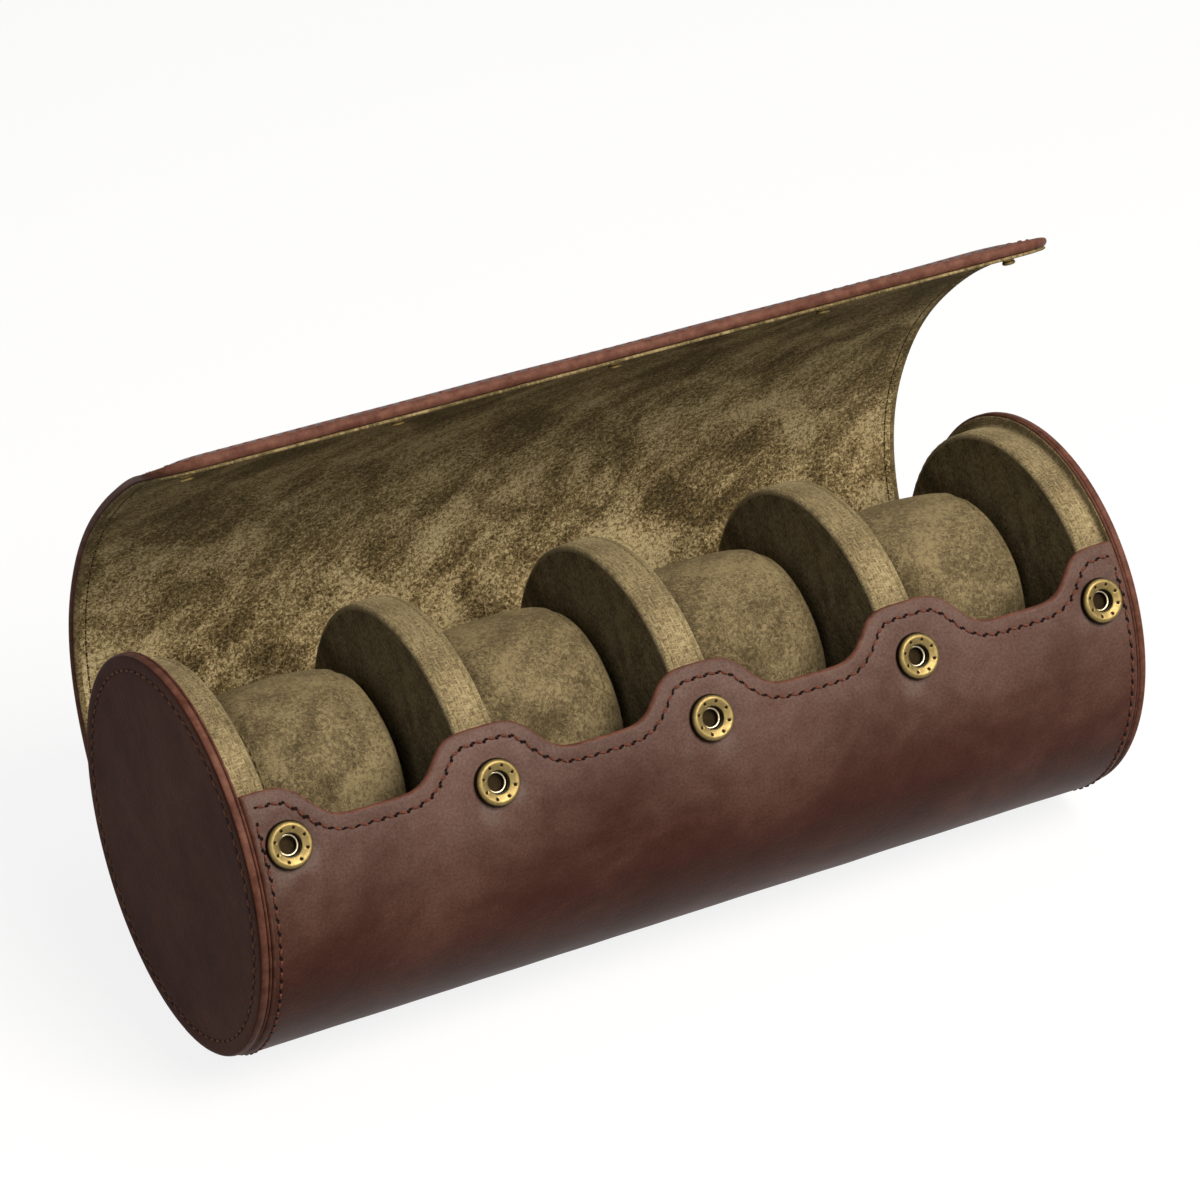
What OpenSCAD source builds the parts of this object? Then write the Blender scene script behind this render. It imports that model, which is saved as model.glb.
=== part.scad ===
// Travel case: a padded leather roll with four bays, a wrap-over lid and five press studs.
// Millimetres. The roll lies along X, its opening faces up and to the front (-Y),
// and it stands on the flat worn into the underside, whose middle is the origin.

/* [Roll] */
// Length over the two end caps
roll_length = 264.4; // [240:0.2:300]
// Outer radius of the leather wrap
wrap_radius = 54; // [50:0.5:58]
// Depth of the flat that the roll rests on
flat_depth = 1.3; // [0.8:0.1:1.6]
// Height on the front at which the wrap ends, as an angle above the horizontal
crest_angle = 49.2; // [46:0.2:52]
// Height of the scooped stretches of the front edge, as an angle above the horizontal
trough_angle = 37; // [34:0.5:40]
// Angle at the back at which the lid's hinge strip starts, counted from the front over the top
strip_angle = 252; // [248:0.5:256]

/* [Layers] */
// Thickness of the outer leather
leather_t = 3; // [2.4:0.1:3.4]
// Thickness of the suede lining
lining_t = 0.8; // [0.6:0.1:1]
// Thickness of the stiffening board let into the leather
board_t = 1; // [0.6:0.1:1.4]
// How far the board stays back from the leather's edges
board_inset = 6; // [4:0.5:8]
// How far a lid board stops short of each bending line
board_stop = 2; // [1:0.5:3]
// Distance from the boards to the press studs
board_clear = 1; // [0.5:0.5:2]

/* [Scooped edge] */
// Length of the level stretch at the bottom of a scoop
scoop_flat = 19; // [14:1:24]
// Radius of the bends of a scoop
scoop_bend = 6.5; // [4:0.5:7.5]
// Slope of a scoop's sides
scoop_slope = 52; // [46:1:58]

/* [End caps] */
// How far an end cap stays inside the wrap's outer radius
cap_inset = 0.6; // [0.2:0.1:0.8]
// Thickness of a cap's leather
cap_t = 2.2; // [1.8:0.1:2.8]
// Radius of a cap's outer edge
cap_round = 0.9; // [0.4:0.1:1.2]
// Radius of the piping between a cap and the wrap
piping_radius = 0.8; // [0.6:0.1:0.9]
// Thickness of the padded disc inside each end
pad_t = 8.2; // [7:0.1:10]
// Thickness of the board behind a cap's leather
cap_board_t = 1.6; // [1:0.1:2]

/* [Dividers] */
// Thickness of a divider
divider_t = 11.2; // [9:0.1:13]
// How much wider the two outer bays are than the two inner ones
outer_bay_extra = 2.75; // [0:0.25:5]
// Thickness of the cloth over pads and dividers
cloth_t = 0.8; // [0.6:0.1:1.2]
// Radius of the rounded rims of pads and dividers
rim_round = 1.6; // [1:0.1:2]

/* [Pillows] */
// Room at each end of a pillow in an inner bay
pillow_room = 2.05; // [1:0.05:4]
// Radius of a pillow's top
pillow_top_radius = 33; // [28:0.5:35]
// Radius of a pillow's foot
pillow_foot_radius = 26; // [22:0.5:28]
// Height of the top's centre above the roll's axis
pillow_top_height = 3; // [-2:0.5:6]
// How far the top's centre lies behind the roll's axis
pillow_top_back = 5; // [0:0.5:8]
// How far the foot's centre lies behind the roll's axis
pillow_foot_back = 2; // [0:0.5:4]
// How much fuller a pillow is at its middle than at its end seams
pillow_crown = 1.6; // [0.8:0.1:2.4]
// How far the ends of a pillow bulge past their seams
pillow_bulge = 3.5; // [2:0.5:5]
// Depth to which the end seams draw the cover in
seam_depth = 1; // [0.4:0.1:1.4]
// Distance from a pillow's surface to its foam block
cover_t = 4; // [3:0.5:6]

/* [Lid] */
// Length of the hinge strip round the back, as an angle
strip_sweep = 16; // [14:0.5:18]
// Length of the lid from its hinge strip to its front edge
lid_length = 198; // [190:1:206]
// How much flatter than the roll the lid leaves the hinge strip
lid_kick = 4; // [2:0.5:5]
// Radius of the free front corners
corner_radius = 14; // [10:1:18]
// Distance from the press studs to the front edge
stud_setback = 11.8; // [11:0.1:13]

/* [Press studs] */
// Height of the sockets on the front, as an angle above the horizontal
snap_angle = 33; // [31:0.5:34]
// Distance from the outer sockets' middles to the ends of the roll
snap_inset = 11.9; // [11.2:0.1:14]
// Diameter of a socket's ring
ring_d = 12.5; // [11:0.1:14]
// Height of a socket's ring above the leather
ring_h = 1.7; // [1.4:0.1:1.8]
// Depth to which a socket's ring is pressed into the leather
ring_sink = 0.5; // [0.3:0.1:0.7]
// Diameter of a socket's hole
socket_d = 6; // [5.6:0.1:6.4]
// Diameter of a socket's flange behind the leather
flange_d = 10; // [9:0.5:11]
// Thickness of a socket's flange
flange_t = 0.45; // [0.3:0.05:0.6]
// Wall of a socket's cup
cup_wall = 0.6; // [0.4:0.1:0.8]
// Diameter of the wire of a socket's spring ring
spring_wire_d = 0.7; // [0.5:0.1:0.8]
// Diameter of a stud's head
stud_d = 3.6; // [3:0.1:4]
// Height of a stud above the lining
stud_h = 2; // [1.6:0.1:2.2]
// Diameter of a stud's foot
stud_foot_d = 8; // [7:0.5:9]
// Thickness of a stud's foot, and of the head of its rivet
stud_foot_t = 0.5; // [0.4:0.05:0.6]
// Diameter of a stud's rivet
rivet_d = 3; // [2.4:0.1:3.4]

/* [Clearances] */
// Gap between pieces that move against each other
gap = 0.3; // [0.2:0.05:0.4]
// Gap round a piece that is let into another
fit = 0.05; // [0.03:0.01:0.1]

/* [Hidden] */

$fn = 128;
small = 48;
over = 1;

leather_brown = "#5a3329";
cap_brown = "#3a231d";
olive_suede = "#6d5d3c";
olive_cloth = "#8f7f56";
board_grey = "#8d8270";
wood = "#c9a878";
foam = "#d8cfa8";
old_brass = "#a08248";
dark_brass = "#5f4d2a";

wrap_t = leather_t + lining_t;
inner_radius = wrap_radius - wrap_t;
lining_radius = inner_radius + lining_t;
axis_height = wrap_radius - flat_depth;
cap_radius = wrap_radius - cap_inset;
cap_inner = roll_length / 2 - cap_t;
wrap_length = 2 * (cap_inner - 2 * piping_radius - fit);
lid_width = wrap_length - 2 * gap;
disc_radius = inner_radius - gap;
core_radius = disc_radius - cloth_t - fit;
pad_outer = cap_inner - fit;
pad_inner = pad_outer - pad_t;
bay_width = (2 * pad_inner - 2 * outer_bay_extra - 3 * divider_t) / 4;
divider_pitch = bay_width + divider_t;
pillow_length = bay_width - 2 * pillow_room;
outer_bay = (divider_pitch + divider_t / 2 + pad_inner) / 2;
inner_bay = divider_pitch / 2;
bay_centres = [-outer_bay, -inner_bay, inner_bay, outer_bay];
divider_centres = [-divider_pitch, 0, divider_pitch];
snap_reach = roll_length / 2 - snap_inset;
snap_centres = [-snap_reach, -divider_pitch, 0, divider_pitch, snap_reach];
ring_seat = wrap_radius - ring_sink;

// Angles round the roll, counted from the front over the top, become angles counted from
// straight down towards the back.
function turn(angle_from_front) = 270 - angle_from_front;
function degrees(length, radius) = length / radius * 180 / PI;
crest_turn = turn(crest_angle) - 360;
strip_turn = turn(strip_angle);
board_turn = turn(snap_angle) - 360 + degrees(ring_d / 2 + board_clear, wrap_radius);

// The lid is one long sheet in six bent stretches: [length along the lining, bend radius]
lid_shape = [[26, 95], [30, 80], [36, 58], [38, 88], [38, 150], [30, 200]];
lid_scale = lid_length / ([for (s = lid_shape) 1] * lid_shape)[0];
stretches = lid_shape * lid_scale;
last = len(stretches) - 1;
function stretch_sweep(k) = degrees(stretches[k][0], stretches[k][1]);
// Where stretch k starts, from the roll's axis: [y, z, direction of the sheet]
function stretch_start(k) =
    k == 0
    ? let (a = strip_turn + strip_sweep)
        [inner_radius * sin(a), -inner_radius * cos(a), a - lid_kick]
    : let (p = stretch_start(k - 1), r = stretches[k - 1][1], a = p[2] + stretch_sweep(k - 1))
        [p[0] + r * (sin(a) - sin(p[2])), p[1] - r * (cos(a) - cos(p[2])), a];

// Turns +Z of its children away from the roll's axis and +Y of them up the front
module radially(angle, x) {
    translate([x, 0, axis_height]) rotate([90 - angle, 0, 0]) children();
}

// A slab bent round a line along X through [y, z], from radius r to r + t
module bent_slab(y, z, r, t, from, to, width) {
    translate([0, y, z])
        rotate([0, 90, 0])
            rotate([0, 0, from])
                rotate_extrude(angle = to - from)
                    translate([r, -width / 2]) square([t, width]);
}

module wrap_slab(r, t, from, to, width) {
    bent_slab(0, axis_height, r, t, from, to, width);
}

// A layer of lid stretch k, off outwards from the lining's surface, drawn in at its two ends
module lid_slab(k, off, t, width, start_inset = 0, end_inset = 0) {
    p = stretch_start(k);
    r = stretches[k][1];
    bent_slab(
        p[0] - r * sin(p[2]), axis_height + p[1] + r * cos(p[2]), r + off, t,
        p[2] + degrees(gap / 2 + start_inset, r),
        p[2] + stretch_sweep(k) - degrees(gap / 2 + end_inset, r), width
    );
}

// Puts its children on lid stretch k, with +Z outwards and +Y towards the free edge
module on_lid(k, length, x = 0) {
    p = stretch_start(k);
    r = stretches[k][1];
    a = p[2] + degrees(length, r);
    translate([x, p[0] + r * (sin(a) - sin(p[2])), axis_height + p[1] - r * (cos(a) - cos(p[2]))])
        rotate([a + 180, 0, 0])
            rotate([0, 0, 180]) children();
}

module above_base() {
    intersection() {
        children();
        translate([-roll_length, -2 * wrap_radius, 0])
            cube([2 * roll_length, 4 * wrap_radius, 4 * wrap_radius]);
    }
}

// A disc along X with rounded rims, from x_low to x_high
module rounded_disc(x_low, x_high, radius, round_low, round_high) {
    t = x_high - x_low;
    translate([x_low, 0, axis_height])
        rotate([0, 90, 0])
            rotate_extrude()
                union() {
                    square([radius - max(round_low, round_high), t]);
                    translate([0, round_low]) square([radius, t - round_low - round_high]);
                    if (round_low > 0)
                        translate([radius - round_low, round_low]) circle(round_low, $fn = small);
                    if (round_high > 0)
                        translate([radius - round_high, t - round_high])
                            circle(round_high, $fn = small);
                }
}

module plain_disc(x_low, x_high, radius) {
    translate([x_low, 0, axis_height]) rotate([0, 90, 0]) cylinder(h = x_high - x_low, r = radius);
}

// Points on an arc about [x, y], between two angles
function arc(x, y, r, from, to, steps = 6) =
    [for (i = [0:steps]) let (a = from + (to - from) * i / steps) [x + r * cos(a), y + r * sin(a)]];

// The scooped part of the front edge over one bay, from its level bottom up to the crest
module scoop_outline(height) {
    half_flat = scoop_flat / 2;
    rise = scoop_bend * (1 - cos(scoop_slope));
    run = scoop_bend * sin(scoop_slope);
    shoulder = half_flat + 2 * run + (height - 2 * rise) / tan(scoop_slope);
    polygon([
        each arc(half_flat, scoop_bend, scoop_bend, -90, scoop_slope - 90),
        each arc(shoulder, height - scoop_bend, scoop_bend, scoop_slope + 90, 90),
        [shoulder, height + over], [-shoulder, height + over],
        each arc(-shoulder, height - scoop_bend, scoop_bend, 90, 90 - scoop_slope),
        each arc(-half_flat, scoop_bend, scoop_bend, -90 - scoop_slope, -90)
    ]);
}

module scoops() {
    depth = 2 * wrap_radius * sin((crest_angle - trough_angle) / 2);
    for (x = bay_centres)
        radially((crest_angle + trough_angle) / 2, x)
            translate([0, -depth / 2, inner_radius - 2 * over])
                linear_extrude(wrap_t + 4 * over) scoop_outline(depth);
}

// Stepped holes in the wrap for the sockets: flange behind, barrel through, ring in front
module snap_holes() {
    for (x = snap_centres)
        radially(snap_angle, x) {
            translate([0, 0, inner_radius + lining_t / 2])
                cylinder(h = flange_t + lining_t / 2 + 2 * fit, r = flange_d / 2 + fit, $fn = small);
            translate([0, 0, inner_radius])
                cylinder(h = wrap_t, r = socket_d / 2 + cup_wall + fit, $fn = small);
            translate([0, 0, ring_seat])
                cylinder(h = over, r = ring_d / 2 + fit, $fn = small);
        }
}

module case_board_slab(extra) {
    wrap_slab(
        lining_radius, board_t + extra,
        board_turn - degrees(extra, wrap_radius),
        strip_turn - degrees(board_inset - extra, wrap_radius),
        wrap_length - 2 * board_inset + 2 * extra
    );
}

module case_leather() {
    color(leather_brown)
        above_base()
            difference() {
                wrap_slab(
                    lining_radius, leather_t, crest_turn,
                    strip_turn - degrees(gap, wrap_radius), wrap_length
                );
                scoops();
                snap_holes();
                case_board_slab(fit);
            }
}

module case_board() {
    color(board_grey) case_board_slab(0);
}

module case_lining() {
    color(olive_suede)
        difference() {
            wrap_slab(
                inner_radius, lining_t, crest_turn, strip_turn - degrees(gap, inner_radius),
                wrap_length
            );
            scoops();
        }
}

module at_end(side) {
    if (side < 0) mirror([1, 0, 0]) children();
    else children();
}

module cap_leather(side) {
    color(cap_brown)
        above_base()
            at_end(side) rounded_disc(cap_inner, cap_inner + cap_t, cap_radius, 0, cap_round);
}

module cap_piping(side) {
    color(cap_brown)
        above_base()
            at_end(side)
                translate([cap_inner - piping_radius - fit, 0, axis_height])
                    rotate([0, 90, 0])
                        rotate_extrude()
                            translate([cap_radius - piping_radius, 0])
                                circle(piping_radius, $fn = small);
}

module cap_board(side) {
    color(board_grey)
        at_end(side)
            plain_disc(
                pad_outer - cloth_t - cap_board_t, pad_outer - cloth_t - fit, core_radius
            );
}

module pad_core(side) {
    color(wood)
        at_end(side)
            plain_disc(
                pad_inner + cloth_t + fit, pad_outer - cloth_t - cap_board_t - fit, core_radius
            );
}

module pad_cover(side) {
    color(olive_cloth)
        at_end(side)
            difference() {
                rounded_disc(pad_inner, pad_outer, disc_radius, rim_round, 0);
                plain_disc(pad_inner + cloth_t, pad_outer - cloth_t, core_radius + fit);
            }
}

module divider_cover(x) {
    half = divider_t / 2;
    color(olive_cloth)
        difference() {
            rounded_disc(x - half, x + half, disc_radius, rim_round, rim_round);
            plain_disc(x - half + cloth_t, x + half - cloth_t, core_radius + fit);
        }
}

module divider_core(x) {
    reach = divider_t / 2 - cloth_t - fit;
    color(wood) plain_disc(x - reach, x + reach, core_radius);
}

module snap_rings() {
    width = (ring_d - socket_d) / 2;
    shoulder = wrap_radius - ring_seat + ring_h - width / 2;
    color(old_brass)
        for (x = snap_centres)
            radially(snap_angle, x)
                translate([0, 0, ring_seat + fit])
                    rotate_extrude($fn = small)
                        translate([socket_d / 2, 0]) {
                            square([width, shoulder]);
                            intersection() {
                                translate([width / 2, shoulder]) circle(width / 2, $fn = small);
                                square([width, ring_d]);
                            }
                        }
}

module snap_springs() {
    color(old_brass)
        for (x = snap_centres)
            radially(snap_angle, x)
                translate([0, 0, ring_seat - spring_wire_d])
                    rotate_extrude($fn = small)
                        translate([socket_d / 2 - spring_wire_d / 2 - fit, 0])
                            circle(spring_wire_d / 2, $fn = small);
}

module snap_cups() {
    floor_level = lining_radius + fit;
    color(dark_brass)
        for (x = snap_centres)
            radially(snap_angle, x)
                difference() {
                    union() {
                        translate([0, 0, floor_level])
                            cylinder(h = flange_t, r = flange_d / 2, $fn = small);
                        translate([0, 0, floor_level])
                            cylinder(
                                h = ring_seat - floor_level, r = socket_d / 2 + cup_wall,
                                $fn = small
                            );
                    }
                    translate([0, 0, floor_level + flange_t])
                        cylinder(h = wrap_t, r = socket_d / 2, $fn = small);
                }
}

// Axes of the five studs, on the last stretch of the lid
module at_studs() {
    for (x = snap_centres)
        on_lid(last, stretches[last][0] - stud_setback, x) children();
}

module snap_studs() {
    neck = 0.75;
    color(dark_brass)
        at_studs()
            mirror([0, 0, 1])
                translate([0, 0, fit]) {
                    cylinder(h = stud_foot_t, r = stud_foot_d / 2, $fn = small);
                    cylinder(h = stud_h - fit, r = stud_d / 2 * neck, $fn = small);
                    translate([0, 0, stud_h - fit - stud_d / 4])
                        cylinder(h = stud_d / 4, r = stud_d / 2, $fn = small);
                }
}

// Room for the rivets that hold the studs: a shank through the lining and a head in the leather
module rivet_room(extra) {
    at_studs() {
        translate([0, 0, -extra])
            cylinder(h = wrap_t / 2 + extra, r = rivet_d / 2 + extra, $fn = small);
        translate([0, 0, wrap_t / 2 - stud_foot_t - extra])
            cylinder(h = stud_foot_t + 2 * extra, r = stud_foot_d / 2 + extra, $fn = small);
    }
}

module snap_rivets() {
    color(dark_brass) rivet_room(0);
}

module strip_slab(r, t, inset, width) {
    wrap_slab(
        r, t, strip_turn + degrees(inset, r), strip_turn + strip_sweep - degrees(gap / 2 + inset, r),
        width
    );
}

module strip_leather() {
    color(leather_brown)
        difference() {
            strip_slab(lining_radius, leather_t, 0, lid_width);
            strip_slab(
                lining_radius - over, board_t + over + fit, board_stop - fit,
                lid_width - 2 * board_inset + 2 * fit
            );
        }
}

module strip_board() {
    color(board_grey)
        strip_slab(lining_radius, board_t, board_stop, lid_width - 2 * board_inset);
}

module strip_lining() {
    color(olive_suede) strip_slab(inner_radius, lining_t, 0, lid_width);
}

// Cuts the two free front corners of the lid round
module front_corners() {
    reach = lid_width / 2 - corner_radius;
    start = 3;
    low = corner_radius * sin(start);
    for (side = [-1, 1])
        at_end(side)
            on_lid(last, stretches[last][0] - gap / 2 - corner_radius)
                mirror([1, 0, 0])
                    translate([0, 0, -2 * over])
                        linear_extrude(wrap_t + 4 * over)
                            polygon([
                                [lid_width / 2 + over, low],
                                each arc(reach, 0, corner_radius, start, 90 - start, 10),
                                [reach + low, corner_radius + over],
                                [lid_width / 2 + over, corner_radius + over]
                            ]);
}

// The boards stop short of each stretch's ends, and well short of the studs
function board_end(k) =
    k == last ? stud_setback + stud_foot_d / 2 + 2 * board_clear : board_stop;

module stretch_board(k, extra = 0) {
    lid_slab(
        k, lining_t - (extra > 0 ? over : 0), board_t + (extra > 0 ? over + extra : 0),
        lid_width - 2 * board_inset + 2 * extra, board_stop - extra, board_end(k) - extra
    );
}

module stretch_board_piece(k) {
    color(board_grey) stretch_board(k);
}

module stretch_leather(k) {
    color(leather_brown)
        difference() {
            lid_slab(k, lining_t, leather_t, lid_width);
            stretch_board(k, fit);
            if (k == last) {
                front_corners();
                rivet_room(fit);
            }
        }
}

module stretch_lining(k) {
    color(olive_suede)
        difference() {
            lid_slab(k, 0, lining_t, lid_width);
            if (k == last) {
                front_corners();
                rivet_room(fit);
            }
        }
}

foot_height = -sqrt(pow(disc_radius - pillow_foot_radius, 2) - pow(pillow_foot_back, 2));
pillow_points = 28;
pillow_rings = 9;
end_rings = 4;

// Outline of a pillow's section at angle a, drawn in by inset: a wide top over a narrower foot
function eased(w) = w * w * (3 - 2 * w);
function outline_point(a, inset) =
    let (
        w = eased((1 + sin(a)) / 2),
        r = pillow_foot_radius + w * (pillow_top_radius - pillow_foot_radius) - inset,
        y = pillow_foot_back + w * (pillow_top_back - pillow_foot_back),
        z = foot_height + w * (pillow_top_height - foot_height)
    )
    [y + r * cos(a), z + r * sin(a)];
function ring_points(x, scale, inset) = [
    for (i = [0:pillow_points - 1])
        let (p = outline_point(i * 360 / pillow_points, inset), c = outline_middle())
            [x, c[0] + scale * (p[0] - c[0]), c[1] + scale * (p[1] - c[1])]
];
function outline_middle() =
    [(pillow_foot_back + pillow_top_back) / 2, (foot_height + pillow_top_height) / 2];

// How far the body is drawn in at u, from -1 at one end seam to 1 at the other
function body_inset(u) =
    pillow_crown * (1 - sqrt(1 - u * u)) + (abs(u) == 1 ? seam_depth : 0);
function end_angle(i) = 90 * (i - 0.4) / end_rings;

// Rings from the middle of one end, over its seam and the crowned body, to the other end
module pillow_form() {
    half = pillow_length / 2 - pillow_bulge;
    rings = [
        for (i = [1:end_rings])
            ring_points(
                -half - pillow_bulge * cos(end_angle(i)), sin(end_angle(i)), pillow_crown
            ),
        for (i = [0:pillow_rings - 1])
            let (u = sin(90 * (2 * i / (pillow_rings - 1) - 1)))
                ring_points(half * u, 1, body_inset(u)),
        for (i = [end_rings:-1:1])
            ring_points(
                half + pillow_bulge * cos(end_angle(i)), sin(end_angle(i)), pillow_crown
            )
    ];
    n = pillow_points;
    count = len(rings);
    c = outline_middle();
    points = [
        for (ring = rings) each ring,
        [-half - pillow_bulge, c[0], c[1]], [half + pillow_bulge, c[0], c[1]]
    ];
    faces = [
        for (k = [0:count - 2], i = [0:n - 1])
            each [
                [k * n + i, (k + 1) * n + i, (k + 1) * n + (i + 1) % n],
                [k * n + i, (k + 1) * n + (i + 1) % n, k * n + (i + 1) % n]
            ],
        for (i = [0:n - 1]) [count * n, i, (i + 1) % n],
        for (i = [0:n - 1])
            [count * n + 1, (count - 1) * n + (i + 1) % n, (count - 1) * n + i]
    ];
    polyhedron(points, faces);
}

// The foam block: two round bars joined by a web, drawn in from the cover by inset
module foam_block(inset) {
    half = pillow_length / 2 - pillow_bulge - inset;
    foot = pillow_foot_radius - pillow_crown - seam_depth - inset;
    top = pillow_top_radius - pillow_crown - seam_depth - inset;
    translate([-half, 0, 0])
        rotate([0, 90, 0])
            linear_extrude(2 * half)
                union() {
                    translate([-foot_height, pillow_foot_back]) circle(foot);
                    translate([-pillow_top_height, pillow_top_back]) circle(top);
                    polygon([
                        [-foot_height, pillow_foot_back - foot], [-foot_height, pillow_foot_back + foot],
                        [-pillow_top_height, pillow_top_back + foot],
                        [-pillow_top_height, pillow_top_back - foot]
                    ]);
                }
}

module pillow_cover(k) {
    color(olive_cloth)
        translate([bay_centres[k - 1], 0, axis_height])
            difference() {
                pillow_form();
                foam_block(cover_t - fit);
            }
}

module pillow_core(k) {
    color(foam) translate([bay_centres[k - 1], 0, axis_height]) foam_block(cover_t);
}

case_leather();
case_board();
case_lining();
cap_leather(-1);  // left_cap_leather
cap_board(-1);  // left_cap_board
cap_piping(-1);  // left_cap_piping
pad_cover(-1);  // left_pad_cover
pad_core(-1);  // left_pad_core
cap_leather(1);  // right_cap_leather
cap_board(1);  // right_cap_board
cap_piping(1);  // right_cap_piping
pad_cover(1);  // right_pad_cover
pad_core(1);  // right_pad_core
divider_cover(divider_centres[0]);  // divider_cover_1
divider_cover(divider_centres[1]);  // divider_cover_2
divider_cover(divider_centres[2]);  // divider_cover_3
divider_core(divider_centres[0]);  // divider_core_1
divider_core(divider_centres[1]);  // divider_core_2
divider_core(divider_centres[2]);  // divider_core_3
snap_rings();
snap_springs();
snap_cups();
strip_leather();
strip_board();
strip_lining();
stretch_leather(0);  // panel_leather_1
stretch_leather(1);  // panel_leather_2
stretch_leather(2);  // panel_leather_3
stretch_leather(3);  // panel_leather_4
stretch_board_piece(0);  // panel_board_1
stretch_board_piece(1);  // panel_board_2
stretch_board_piece(2);  // panel_board_3
stretch_board_piece(3);  // panel_board_4
stretch_lining(0);  // panel_lining_1
stretch_lining(1);  // panel_lining_2
stretch_lining(2);  // panel_lining_3
stretch_lining(3);  // panel_lining_4
stretch_leather(4);  // flap_leather_1
stretch_leather(5);  // flap_leather_2
stretch_board_piece(4);  // flap_board_1
stretch_board_piece(5);  // flap_board_2
stretch_lining(4);  // flap_lining_1
stretch_lining(5);  // flap_lining_2
snap_studs();
snap_rivets();
pillow_cover(1);  // pillow_cover_1
pillow_cover(2);  // pillow_cover_2
pillow_cover(3);  // pillow_cover_3
pillow_cover(4);  // pillow_cover_4
pillow_core(1);  // pillow_core_1
pillow_core(2);  // pillow_core_2
pillow_core(3);  // pillow_core_3
pillow_core(4);  // pillow_core_4
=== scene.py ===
import bpy
import math
import numpy as np
from functools import partial
from mathutils import Matrix, Vector, noise
from mathutils.bvhtree import BVHTree


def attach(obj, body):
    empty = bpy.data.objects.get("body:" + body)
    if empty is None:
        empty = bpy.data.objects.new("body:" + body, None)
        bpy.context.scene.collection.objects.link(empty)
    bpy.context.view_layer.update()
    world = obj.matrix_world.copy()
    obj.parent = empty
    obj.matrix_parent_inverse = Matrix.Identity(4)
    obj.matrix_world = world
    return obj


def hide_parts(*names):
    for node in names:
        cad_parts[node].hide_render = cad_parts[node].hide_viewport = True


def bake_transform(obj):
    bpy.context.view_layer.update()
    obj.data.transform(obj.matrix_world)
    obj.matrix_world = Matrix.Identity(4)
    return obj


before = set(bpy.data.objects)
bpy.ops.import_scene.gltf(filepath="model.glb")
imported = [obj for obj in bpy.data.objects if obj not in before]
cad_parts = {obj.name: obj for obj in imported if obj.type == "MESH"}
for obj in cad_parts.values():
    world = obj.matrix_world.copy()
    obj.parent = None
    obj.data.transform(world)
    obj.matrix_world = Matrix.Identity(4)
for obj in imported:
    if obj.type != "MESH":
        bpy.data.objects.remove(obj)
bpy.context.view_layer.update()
print("frame loaded")

# Sizes are in millimetres and become metres when a mesh is made
mm = 0.001

# The roll, as the frame has it. Angles are in degrees, on the wrap up from the axis' level and on
# the hinge strip from straight down
roll = {
    "axisHeight": 52.7,
    "outerRadius": 54.0,
    "innerRadius": 50.2,  # the lining's surface
    "bayRadius": 49.9,  # pads, dividers and the pillows' feet
    "crestAngle": 49.2,
    "troughAngle": 37.0,
    "stripTurn": 18.0,
    "stripSweep": 16.0,
    "lidKick": 4.0,
    "wrapHalf": 129.1,
    "lidHalf": 128.05,
    "lining": 0.8,
    "leather": 3.0,
    "flare": 4.6,  # how far the lid's free corners spread
    "flareFrom": 166.0,
    "flareOver": 46.0,
    "bayCentres": [-94.825, -31.15, 31.15, 94.825],
    "dividerCentres": [-62.3, 0.0, 62.3],
    "snapAngle": 33.0,
    "snapCentres": [-120.3, -62.3, 0.0, 62.3, 120.3],
    "stretches": [(26, 95), (30, 80), (36, 58), (38, 88), (38, 150), (30, 200)],  # length, radius
}
lidBodies = ["case", "lid_strip"] + [f"lid_panel_{k}" for k in range(1, 5)]
lidBodies += ["lid_flap_1", "lid_flap_2"]


def linear(hexColour):
    parts = [int(hexColour[i:i + 2], 16) / 255 for i in (1, 3, 5)]
    return [p / 12.92 if p <= 0.04045 else ((p + 0.055) / 1.055) ** 2.4 for p in parts] + [1]


def addNode(tree, kind, settings=None, links=None):
    # settings name a property or an input, links join another node, or one output of it, to an
    # input, and a single one goes to the first input
    node = tree.nodes.new("ShaderNode" + kind)
    for key, value in (settings or {}).items():
        if key == "stops":
            ramp = node.color_ramp
            while len(ramp.elements) < len(value):
                ramp.elements.new(0.5)
            for element, (place, colour) in zip(ramp.elements, value):
                element.position = place
                element.color = linear(colour)
        elif isinstance(key, str) and hasattr(node, key):
            setattr(node, key, value)
        else:
            node.inputs[key].default_value = value
    if links is not None and not isinstance(links, dict):
        links = {0: links}
    for key, source in (links or {}).items():
        if hasattr(source, "outputs"):
            # a mix of colours has its result on the third output, all others on the first
            source = source.outputs[2 if source.type == "MIX" else 0]
        tree.links.new(source, node.inputs[key])
    return node


def makeMaterial(name, finish, *values):
    # finish is a function that adds the nodes and gives back the shader
    material = bpy.data.materials.new(name)
    material.use_nodes = True
    tree = material.node_tree
    tree.nodes.clear()
    shader = finish(partial(addNode, tree), *values)
    addNode(tree, "OutputMaterial", None, shader)
    return material


def millimetres(add, source):
    # UV layers hold millimetres divided by 100, object space holds metres
    scale = 100 if source == "UV" else 1000
    coordinate = add("TexCoord")
    return add("Mapping", {"Scale": (scale, scale, scale)}, coordinate.outputs[source])


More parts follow.
